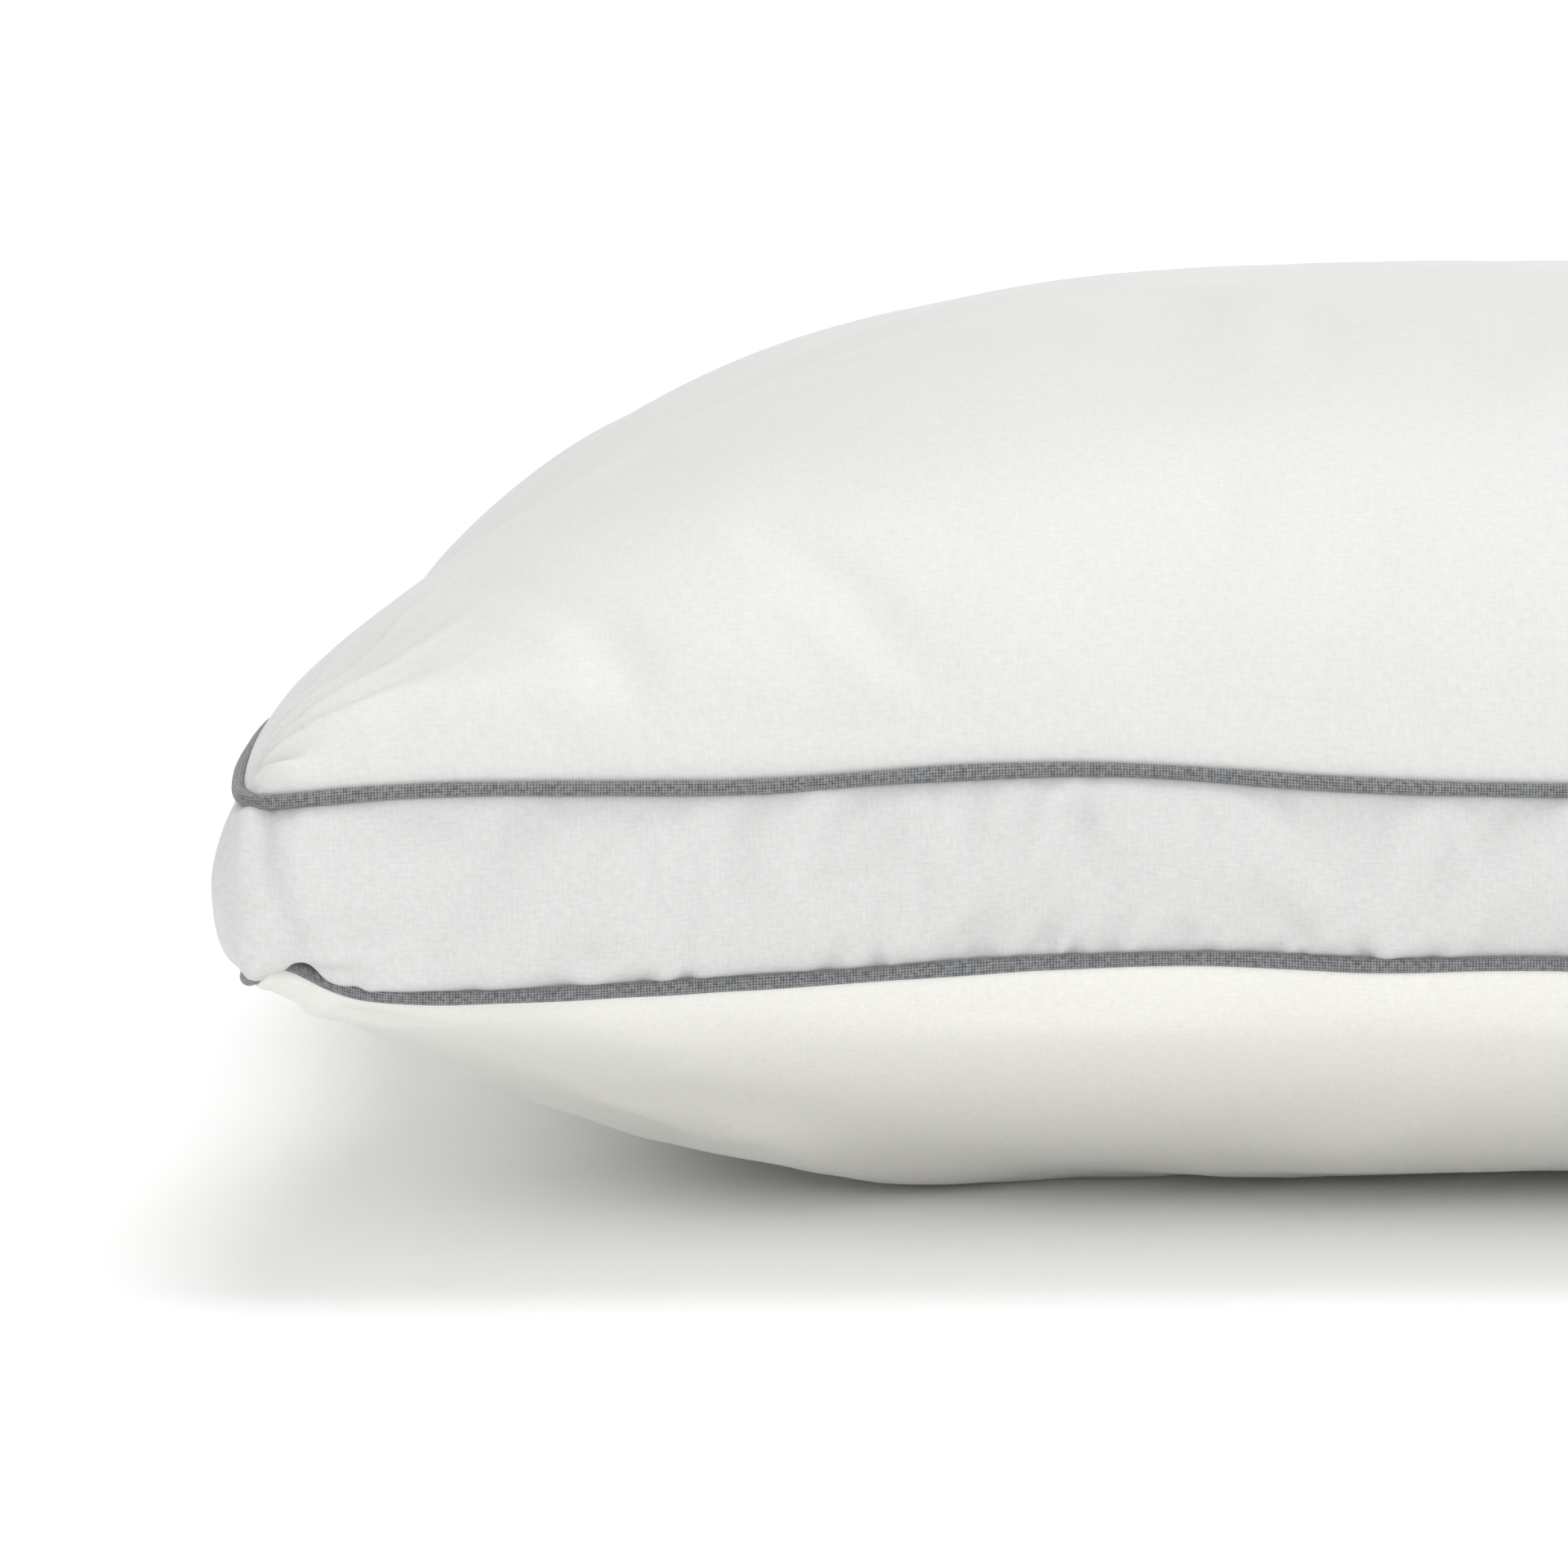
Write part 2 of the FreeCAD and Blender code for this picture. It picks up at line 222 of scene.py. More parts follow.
def dress(piece: bpy.types.Object, material: bpy.types.Material, slot: str, *nodes: str) -> bpy.types.Object:
    """Gives a piece its material and its place in the frame.

    Args:
        piece: the object.
        material: what it is made of.
        slot: not used.
        nodes: the CAD nodes that it stands for.

    Returns:
        The same object.
    """
    piece.data.materials.clear()
    piece.data.materials.append(material)
    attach(piece, BODY)
    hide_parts(*nodes)
    log.info("%s: %d faces, stands for %s", piece.name, len(piece.data.polygons), ", ".join(nodes))
    return piece


# -------------------------------------------------------------------------------------- materials
@dataclass(frozen=True)
class Sateen:
    """Cotton sateen: long floats of fine combed yarn, calendered, so it is smooth with a soft sheen."""

    name: str = "cotton_sateen_white"
    colour: str = "#DBDBD9"
    shade: str = "#D0D0CE"  # between the yarns, and where the cloth is thinner
    roughness: float = 0.46  # a calendered cotton face
    sheen: float = 0.12  # loose fibre ends, seen edge on
    yarn: float = 0.55 * MM  # real yarns lie 0.2 mm apart, drawn coarser so that they show
    float_length: float = 2.4 * MM  # how far a warp yarn floats, drawn coarser to match
    relief: float = 0.06 * MM

    def build(self) -> bpy.types.Material:
        """Makes the material's nodes.

        Returns:
            The material.
        """
        material, tree = blank_material(self.name)
        place = add_node(tree, "ShaderNodeUVMap", uv_map="cloth").outputs["UV"]
        floats = add_node(
            tree,
            "ShaderNodeMapping",
            {"Vector": place, "Scale": (1 / self.float_length, 1 / self.yarn, 1.0)},
        )
        yarns = add_node(
            tree,
            "ShaderNodeTexNoise",
            {"Vector": floats.outputs["Vector"], "Scale": 1.0, "Detail": 2.0, "Roughness": 0.6},
            noise_dimensions="2D",
        )
        weft = add_node(
            tree,
            "ShaderNodeMapping",
            {"Vector": place, "Scale": (1 / self.yarn, 1 / self.float_length, 1.0)},
        )
        picks = add_node(
            tree,
            "ShaderNodeTexNoise",
            {"Vector": weft.outputs["Vector"], "Scale": 1.0, "Detail": 1.0, "Roughness": 0.5},
            noise_dimensions="2D",
        )
        weave = add_node(
            tree,
            "ShaderNodeMath",
            {0: picks.outputs["Fac"], 1: 0.6, 2: yarns.outputs["Fac"]},
            operation="MULTIPLY_ADD",
        )
        relief = add_node(
            tree,
            "ShaderNodeBump",
            {"Strength": 0.6, "Distance": self.relief, "Height": weave.outputs["Value"]},
        )
        solid = add_node(tree, "ShaderNodeTexCoord")
        patches = add_node(
            tree,
            "ShaderNodeTexNoise",
            {"Vector": solid.outputs["Object"], "Scale": 22.0, "Detail": 3.0, "Roughness": 0.55},
        )
        grain = add_node(
            tree,
            "ShaderNodeMapRange",
            {"Value": weave.outputs["Value"], "From Min": 0.5, "From Max": 1.1, "To Max": 0.75},
        )
        mottle = add_node(
            tree,
            "ShaderNodeMath",
            {0: patches.outputs["Fac"], 1: 0.25, 2: grain.outputs["Result"]},
            operation="MULTIPLY_ADD",
        )
        tone = add_node(
            tree,
            "ShaderNodeMix",
            {"Factor": mottle.outputs["Value"], "A": linear(self.colour), "B": linear(self.shade)},
            data_type="RGBA",
        )
        surface = add_node(
            tree,
            "ShaderNodeBsdfPrincipled",
            {
                "Base Color": tone.outputs["Result"],
                "Roughness": self.roughness,
                "Specular IOR Level": 0.35,
                "Sheen Weight": self.sheen,
                "Sheen Roughness": 0.4,
                "Normal": relief.outputs["Normal"],
            },
        )
        add_node(tree, "ShaderNodeOutputMaterial", {"Surface": surface.outputs["BSDF"]})
        return material


@dataclass(frozen=True)
class PlainWeave:
    """Dyed plain-weave tape: one yarn over, one under, matt. Its colour is darkened between the yarns with
    painted shade, so each yarn's crown of dyed grey shows as a light fleck.
    """

    name: str = "cotton_tape_grey"
    crown: str = "#8F9193"
    # painted shade between the yarns, far darker than the dyed grey of the crowns
    gap_shade: str = "#46484A"
    roughness: float = 0.85
    sheen: float = 0.25
    yarn: float = 0.42 * MM  # spacing of a medium cotton poplin's yarns
    relief: float = 0.1 * MM

    def build(self) -> bpy.types.Material:
        """Makes the material's nodes.

        Returns:
            The material.
        """
        material, tree = blank_material(self.name)
        place = add_node(tree, "ShaderNodeUVMap", uv_map="cloth").outputs["UV"]
        # The tape is cut on the bias, so its yarns cross the cord at 45 degrees.
        turned = add_node(
            tree,
            "ShaderNodeMapping",
            {"Vector": place, "Rotation": (0.0, 0.0, math.radians(45)), "Scale": (math.pi / self.yarn,) * 3},
        )
        wander = add_node(
            tree,
            "ShaderNodeTexNoise",
            {"Vector": place, "Scale": 900.0, "Detail": 1.0},
            noise_dimensions="2D",
        )
        split = add_node(tree, "ShaderNodeSeparateXYZ", {"Vector": turned.outputs["Vector"]})
        warp = add_node(tree, "ShaderNodeMath", {0: split.outputs["X"]}, operation="SINE")
        weft = add_node(tree, "ShaderNodeMath", {0: split.outputs["Y"]}, operation="SINE")
        cross = add_node(
            tree, "ShaderNodeMath", {0: warp.outputs["Value"], 1: weft.outputs["Value"]}, operation="MULTIPLY"
        )
        height = add_node(
            tree,
            "ShaderNodeMath",
            {0: cross.outputs["Value"], 1: 0.5, 2: wander.outputs["Fac"]},
            operation="MULTIPLY_ADD",
        )
        fleck = add_node(
            tree,
            "ShaderNodeMapRange",
            {"Value": height.outputs["Value"], "From Min": 0.1, "From Max": 0.95},
        )
        # the tone runs from the painted shade between the yarns to the dyed grey on their crowns
        tone = add_node(
            tree,
            "ShaderNodeMix",
            {"Factor": fleck.outputs["Result"], "A": linear(self.gap_shade), "B": linear(self.crown)},
            data_type="RGBA",
        )
        relief = add_node(
            tree,
            "ShaderNodeBump",
            {"Strength": 0.7, "Distance": self.relief, "Height": height.outputs["Value"]},
        )
        surface = add_node(
            tree,
            "ShaderNodeBsdfPrincipled",
            {
                "Base Color": tone.outputs["Result"],
                "Roughness": self.roughness,
                "Sheen Weight": self.sheen,
                "Normal": relief.outputs["Normal"],
            },
        )
        add_node(tree, "ShaderNodeOutputMaterial", {"Surface": surface.outputs["BSDF"]})
        return material


@dataclass(frozen=True)
class Spun:
    """Fibre spun and twisted, or left loose: matt, with the twist or the tangle as its relief."""

    name: str
    light: str
    dark: str
    twist: float  # along the yarn, in metres, for one turn; 0 for loose fibre
    roughness: float = 0.8
    relief: float = 0.08 * MM

    def build(self) -> bpy.types.Material:
        """Makes the material's nodes.

        Returns:
            The material.
        """
        material, tree = blank_material(self.name)
        if self.twist:
            place = add_node(tree, "ShaderNodeUVMap", uv_map="cloth").outputs["UV"]
            pattern = add_node(
                tree,
                "ShaderNodeTexWave",
                {"Vector": place, "Scale": 1 / self.twist, "Distortion": 1.0, "Detail": 1.0},
                bands_direction="DIAGONAL",
            )
        else:
            place = add_node(tree, "ShaderNodeTexCoord").outputs["Object"]
            pattern = add_node(
                tree,
                "ShaderNodeTexNoise",
                {"Vector": place, "Scale": 350.0, "Detail": 6.0, "Roughness": 0.7, "Distortion": 1.5},
            )
        tone = add_node(
            tree,
            "ShaderNodeMix",
            {"Factor": pattern.outputs["Fac"], "A": linear(self.dark), "B": linear(self.light)},
            data_type="RGBA",
        )
        relief = add_node(
            tree,
            "ShaderNodeBump",
            {"Strength": 0.6, "Distance": self.relief, "Height": pattern.outputs["Fac"]},
        )
        surface = add_node(
            tree,
            "ShaderNodeBsdfPrincipled",
            {
                "Base Color": tone.outputs["Result"],
                "Roughness": self.roughness,
                "Sheen Weight": 0.3,
                "Normal": relief.outputs["Normal"],
            },
        )
        add_node(tree, "ShaderNodeOutputMaterial", {"Surface": surface.outputs["BSDF"]})
        return material


class Finish(Enum):
    """The pillow's finishes. The top panel, the gusset strip and the bottom panel are one white sateen. The
    strip's copy is painted darker, as painted shade on its upright faces. The bottom's copy is paler and
    warmer, as painted light thrown up from the table.
    """

    TOP = Sateen("cotton_sateen_top")
    # the gusset strip's copy of the sateen, painted darker: painted shade for its upright faces
    SIDE = Sateen("cotton_sateen_side", colour="#D6D6D5", shade="#C8C8C7")
    # the bottom panel's copy of the sateen, painted paler and warmer: painted light thrown up from the table
    UNDER = Sateen("cotton_sateen_under", colour="#ECEBE6", shade="#E2E1DB")
    TAPE = PlainWeave()
    CORD = Spun("cotton_cord_undyed", "#E9E4D6", "#CFC8B6", twist=2.5 * MM)
    THREAD = Spun("polyester_thread_white", "#F4F4F2", "#D2D2CE", twist=0.6 * MM, roughness=0.6)
    FIBRE = Spun("polyester_fibre", "#FAFAF8", "#DEDEDA", twist=0.0, relief=0.8 * MM)
    LABEL = Sateen("label_satin_blank", colour="#E8E8E5", shade="#E0E0DC", roughness=0.45)

    def material(self) -> bpy.types.Material:
        """Makes the finish's material once, and gives the same one after that."""
        return bpy.data.materials.get(self.value.name) or self.value.build()


# ---------------------------------------------------------------------------------- seams in space
@dataclass(frozen=True)
class Plan:
    """The rectangle that the seams follow, seen from above. Distances run from the front left corner,
    along the front, up the right side, back along the rear and down the left side."""

    length: float
    width: float
    long_pull: float = 15 * MM  # the filling draws the long sides in
    short_pull: float = 14 * MM
    flare: float = 2 * MM  # the sides swell out again beside the corners
    flare_place: float = 45 * MM
    flare_spread: float = 40 * MM
    taper: float = 0.035  # the far side lies a little narrower
    taper_from: float = -0.3  # where that starts, in widths from the middle
    rounding: float = 0.62  # how wide a blur rounds a square corner, in radii
    points: int = 4344

    @property
    def girth(self) -> float:
        """The length of the line round the pillow."""
        return 2 * (self.length + self.width)

    @property
    def corners(self) -> tuple[float, float, float, float, float]:
        """How far round the corners lie, the first one again at the end."""
        return (0.0, self.length, self.length + self.width, 2 * self.length + self.width, self.girth)

    def distances(self) -> Array:
        """How far round each point lies."""
        return np.arange(self.points) * self.girth / self.points

    def sharp(self) -> Array:
        """Works out the line before its corners are rounded.

        Returns:
            Points by 2.
        """
        far = self.distances()
        line = np.zeros((self.points, 2))
        half = np.array([self.length, self.width]) / 2
        turns = ((1, 0), (0, 1), (-1, 0), (0, -1))
        for side, (east, north) in enumerate(turns):
            start, stop = self.corners[side], self.corners[side + 1]
            here = (far >= start) & (far < stop)
            share = (far[here] - start) / (stop - start)
            edge = np.minimum(share, 1 - share) * (stop - start)
            if side % 2 == 0:
                reach = -self.long_pull * 4 * share * (1 - share)
            else:
                reach = -self.short_pull * np.sin(np.pi * share) ** 4
                reach = reach + self.flare * bump_at(edge, self.flare_place, self.flare_spread)
            forward = np.array([east, north], float)
            outward = np.array([north, -east], float)
            reach = reach + half @ np.abs(outward)
            line[here] = np.outer((share - 0.5) * (stop - start), forward) + np.outer(reach, outward)
        line[:, 0] *= 1 - self.taper * smooth_step(line[:, 1], self.taper_from * self.width, half[1])
        return line

    def rounded(self, radius: float) -> Array:
        """The line with its corners rounded to about radius."""
        return around(self.sharp(), self.rounding * radius * self.points / self.girth)


@dataclass(frozen=True)
class Seam:
    """A seam round the pillow: the line that its piping follows."""

    plan: Plan
    height: float
    corner: float
    corner_rise: tuple[float, float]  # how far it lifts at each corner, and over what distance
    rises: tuple[tuple[float, float, float], ...]  # (place round, lift, spread) of its waves, in mm
    seed: int
    wander: float = 0.5 * MM  # no line that is guided by hand is dead level
    wander_length: float = 16 * MM
    line: Array = field(init=False, repr=False, compare=False)
    outward: Array = field(init=False, repr=False, compare=False)

    def __post_init__(self) -> None:
        """Works out the line and which way is out from it."""
        flat = self.plan.rounded(self.corner)
        far = self.plan.distances()
        girth = self.plan.girth
        random = np.random.default_rng(self.seed)
        off = around(random.normal(size=(len(far), 1)), self.wander_length * self.plan.points / girth)[:, 0]
        off = off * self.wander / off.std()
        lift, spread = self.corner_rise
        bumps = [(corner, lift, spread) for corner in self.plan.corners[:4]]
        bumps += [(place * MM, rise * MM, width * MM) for place, rise, width in self.rises]
        for place, rise, width in bumps:
            away = (far - place + girth / 2) % girth - girth / 2
            off = off + rise * bump_at(away, 0, width)
        line = np.concatenate([flat, self.height + off[:, None]], 1)
        along = (np.roll(line, -1, 0) - np.roll(line, 1, 0)) * (1, 1, 0)
        object.__setattr__(self, "line", line)
        object.__setattr__(self, "outward", unit(np.cross(along, (0, 0, 1))))

    def at(self, far: Array, out: float = 0.0, up: float = 0.0) -> Array:
        """Points beside the seam.

        Args:
            far: how far round each point lies.
            out: how far outwards from the piping's middle.
            up: how far above it.

        Returns:
            As many points as far has, by 3.
        """
        place = far / self.plan.girth * self.plan.points
        low = np.floor(place).astype(int)
        part = (place - low)[..., None]
        count = self.plan.points
        line = self.line[low % count] * (1 - part) + self.line[(low + 1) % count] * part
        outward = unit(self.outward[low % count] * (1 - part) + self.outward[(low + 1) % count] * part)
        return line + outward * out + np.array([0, 0, up])


# ---------------------------------------------------------------------------------------- wrinkles
def mirrored_blur(values: Array, spread: float) -> Array:
    """Smooths rows between two sewn edges, where the values stay at zero.

    Args:
        values: one row for each place between the edges.
        spread: the Gaussian's width, in rows.

    Returns:
        The smoothed rows.
    """
    doubled = np.concatenate([values, -values[::-1]])
    return around(doubled, spread)[: len(values)]


def between(values: Array, old: Array, new: Array) -> Array:
    """Reads rows at new places.

    Args:
        values: one row for each of the old places.
        old: the old places, rising.
        new: the new places.

    Returns:
        One row for each of the new places.
    """
    low = np.clip(np.searchsorted(old, new, side="right") - 1, 0, len(old) - 2)
    part = ((new - old[low]) / (old[low + 1] - old[low])).reshape(-1, *[1] * (values.ndim - 1))
    return values[low] * (1 - part) + values[low + 1] * part


@dataclass(frozen=True)
class Crease:
    """A fold in the cloth: a valley, with the cloth heaped up along one side of it.

    Its ends are places on the flat cloth, and it dies away towards the second. All in mm.
    """

    start: tuple[float, float]
    stop: tuple[float, float]
    width: float
    depth: float
    heap: float = 0.6
    spread: tuple[float, float] = (0.7, 0.9)  # its width at the start, and what it gains by the end
    stray: float = 0.35  # how far it strays to either side, in widths

    def relief(self, cloth: Array, girth: float = 0.0) -> Array:
        """Works out how far it moves the cloth.

        Args:
            cloth: places on the flat cloth, in metres.
            girth: the cloth's length in metres where it is a closed loop, or 0.

        Returns:
            The distance along the cloth's normal, in metres.
        """
        start, stop = np.array(self.start) * MM, np.array(self.stop) * MM
        run = stop - start
        length = math.hypot(*run)
        place = cloth - start
        if girth:
            place[..., 0] = (place[..., 0] + girth / 2) % girth - girth / 2
        share = place @ run / length**2
        off = (place[..., 0] * run[1] - place[..., 1] * run[0]) / length
        width = self.width * MM * (self.spread[0] + self.spread[1] * np.clip(share, 0, 1))
        off = off + self.stray * width * np.sin(5 * share + self.start[0])
        fade = smooth_step(share, -0.06, 0.14) * (1 - smooth_step(share, 0.3, 1.0))
        valley = -bump_at(off, 0, width)
        ridge = self.heap * bump_at(off, 1.8 * width, 1.3 * width)
        return self.depth * MM * fade * (valley + ridge)


@dataclass(frozen=True)
class Relaxer:
    """Sewn cloth with a little more of it than the seams leave room for, pushed out by the filling.

    The cloth is simulated, and its small folds are kept. Its broad shape stays as it was set out.
    """

    surplus: tuple[float, float] = (0.01, 0.06)  # the least and the most extra cloth
    push: float = 3.0
    spacing: float = 4.5 * MM
    frames: int = 22
    broad: float = 26 * MM  # waves longer than about this are left out
    limit: float = 2.6 * MM
    gain: float = 1.0
    soften: float = 0.55  # how much the folds are rounded off, in steps of the simulated grid
    patches: tuple[float, float] = (7.0, 4.0)  # how large its tight and easy patches are, in steps
    seed: int = 5

    def folds(self, name: str, points: Array, cloth: Array, closed: bool) -> Array:
        """Simulates a piece and works out its folds.

        Args:
            name: the piece's name.
            points: its smooth grid.
            cloth: the grid's places on the flat cloth.
            closed: whether the last row joins the first.

        Returns:
            How far each point of the grid moves along its normal.
        """
        rows_at, columns_at = cloth[:, 0, 0], cloth[0, :, 1]
        span = rows_at[-1] - rows_at[0]
        row_count, column_count = round(span / self.spacing), round(np.ptp(columns_at) / self.spacing)
        new_rows = np.linspace(rows_at[0], rows_at[-1], max(row_count, 8))
        new_columns = np.linspace(columns_at[0], columns_at[-1], max(column_count, 12))
        coarse = between(points, rows_at, new_rows)
        coarse = between(coarse.swapaxes(0, 1), columns_at, new_columns).swapaxes(0, 1)
        flat = np.stack(np.meshgrid(new_rows, new_columns, indexing="ij"), -1)
        moved = self.simulate(name, coarse, flat, closed) - coarse
        out = (moved * grid_normals(coarse, closed)).sum(-1)
        spread = self.broad / self.spacing
        rowwise = around if closed else mirrored_blur
        out = out - mirrored_blur(rowwise(out, spread).T, spread).T
        out = self.limit * np.tanh(self.gain * out / self.limit)
        log.info("%s: folds up to %.1f mm", name, 1000 * np.abs(out).max())
        fine = between(out, new_rows, rows_at)
        fine = between(fine.T, new_columns, columns_at).T
        soften_rows = self.soften * self.spacing / (span / len(rows_at))
        soften_columns = self.soften * self.spacing / (np.ptp(columns_at) / len(columns_at))
        return mirrored_blur(rowwise(fine, soften_rows).T, soften_columns).T

    def simulate(self, name: str, points: Array, flat: Array, closed: bool) -> Array:
        """Runs the cloth.

        Args:
            name: the piece's name.
            points: the grid to start from.
            flat: its places on the flat cloth.
            closed: whether the last row joins the first.

        Returns:
            The grid's points after the last frame.
        """
        piece = grid_object(f"{name}_cloth", points, flat, closed=closed)
        sewn = np.zeros(points.shape[:2], bool)
        sewn[:, [0, -1]] = True
        if not closed:
            sewn[[0, -1]] = True
        pins = piece.vertex_groups.new(name="sewn")
        pins.add(np.flatnonzero(sewn.ravel()).tolist(), 1.0, "REPLACE")
        random = np.random.default_rng(self.seed)
        ease = random.normal(size=points.shape[:2])
        ease = around(around(ease, self.patches[0]).T, self.patches[1]).T
        ease = np.clip(0.5 + 0.3 * ease / ease.std(), 0, 1)
        tight = piece.vertex_groups.new(name="tight")
        for index, weight in enumerate(ease.ravel().tolist()):
            tight.add([index], weight, "REPLACE")
        modifier = piece.modifiers.new("cloth", "CLOTH")
        cloth = modifier.settings
        cloth.quality = 6
        cloth.mass = 0.15
        cloth.tension_stiffness = 15
        cloth.compression_stiffness = 15
        cloth.shear_stiffness = 5
        cloth.bending_stiffness = 0.08
        cloth.air_damping = 1.5
        cloth.vertex_group_mass = pins.name
        cloth.vertex_group_shrink = tight.name
        cloth.shrink_min = -self.surplus[1]
        cloth.shrink_max = -self.surplus[0]
        cloth.use_pressure = True
        cloth.uniform_pressure_force = self.push
        cloth.effector_weights.gravity = 0
        modifier.collision_settings.use_collision = False
        modifier.point_cache.frame_start = 1
        modifier.point_cache.frame_end = self.frames
        scene = bpy.context.scene
        for frame_number in range(1, self.frames + 1):
            scene.frame_set(frame_number)
        shape = piece.evaluated_get(bpy.context.evaluated_depsgraph_get())
        result = np.empty(points.size, np.float32)
        shape.data.vertices.foreach_get("co", result)
        scene.frame_set(1)
        mesh = piece.data
        bpy.data.objects.remove(piece)
        bpy.data.meshes.remove(mesh)
        return result.reshape(points.shape).astype(float)


@dataclass(frozen=True)
class Wrinkler:
    """What wrinkles a piece: its simulated folds, and the creases that stand out by themselves."""

    relaxer: Relaxer
    creases: tuple[Crease, ...] = ()

    def apply(
        self, name: str, points: Array, cloth: Array, closed: bool = False, girth: float = 0
    ) -> Array:
        """Wrinkles a piece.

        Args:
            name: the piece's name.
            points: its smooth grid.
            cloth: the grid's places on the flat cloth.
            closed: whether the last row joins the first.
            girth: the cloth's length where it is a closed loop, or 0.

        Returns:
            The wrinkled grid.
        """
        out = np.zeros(points.shape[:2])
        for crease in self.creases:
            out += crease.relief(cloth, girth)
        out += self.relaxer.folds(name, points, cloth, closed)
        return points + grid_normals(points, closed) * out[..., None]


FAN = (17, 33, 47, 61, 76)  # which way a corner's folds run, in degrees from the long side


def corner_folds(
    length: float, width: float, seed: int, reach: float = 95.0, depth: float = 1.1
) -> list[Crease]:
    """Makes the folds that fan out from a panel's corners, the front left corner's first.

    Args:
        length: of the panel along the pillow, in mm.
        width: across it, in mm.
        seed: for the folds' spacing.
        reach: how far the longest goes, in mm.
        depth: how deep the deepest is, in mm.

    Returns:
        The creases.
    """
    random = np.random.default_rng(seed)
    made = []
    for x, y, east, north in ((0, 0, 1, 1), (length, 0, -1, 1), (0, width, 1, -1), (length, width, -1, -1)):
        for degrees in FAN:
            angle = math.radians(degrees + random.uniform(-5, 5))
            far = reach * random.uniform(0.5, 1.0)
            near = random.uniform(5, 9)
            way = np.array([east * math.cos(angle), north * math.sin(angle)])
            start, stop = np.array([x, y]) + near * way, np.array([x, y]) + far * way
            size = random.uniform(0.5, 1.0)
            made.append(Crease(tuple(start), tuple(stop), 2.2 + 1.6 * size, depth * size, heap=0.7))
    return made


def seam_puckers(
    girth: float, seam_place: float, way: float, seed: int, spacing: float = 26.0, depth: float = 0.55
) -> list[Crease]:
    """Makes the short puckers along one edge of the gusset.

    Args:
        girth: of the strip, in mm.
        seam_place: the edge's place across the strip, in mm.
        way: 1 where the strip lies above the edge and -1 where it lies below.
        seed: for the puckers' spacing.
        spacing: their mean distance, in mm.
        depth: how deep the deepest is, in mm.

    Returns:
        The creases.
    """
    random = np.random.default_rng(seed)
    place = 0.0
    made = []
    while place < girth:
        place += spacing * random.uniform(0.45, 1.6)
        size = random.uniform(0.25, 1.0)
        tall = 6 + 10 * size
        lean = random.uniform(-4, 4)
        start, stop = (place, seam_place + way), (place + lean, seam_place + way * tall)
        made.append(Crease(start, stop, random.uniform(1.6, 3.2), depth * size, heap=0.5))
    return made


# ------------------------------------------------------------------------------------ cloth pieces
def graded(count: int, crowd: float) -> Array:
    """Shares from 0 to 1 that crowd towards both ends.

    Args:
        count: how many.
        crowd: 0 for even, up to 1 for the most crowding.

    Returns:
        The shares.
    """
    even = np.linspace(0, 1, count)
    return (1 - crowd) * even + crowd * (1 - np.cos(np.pi * even)) / 2


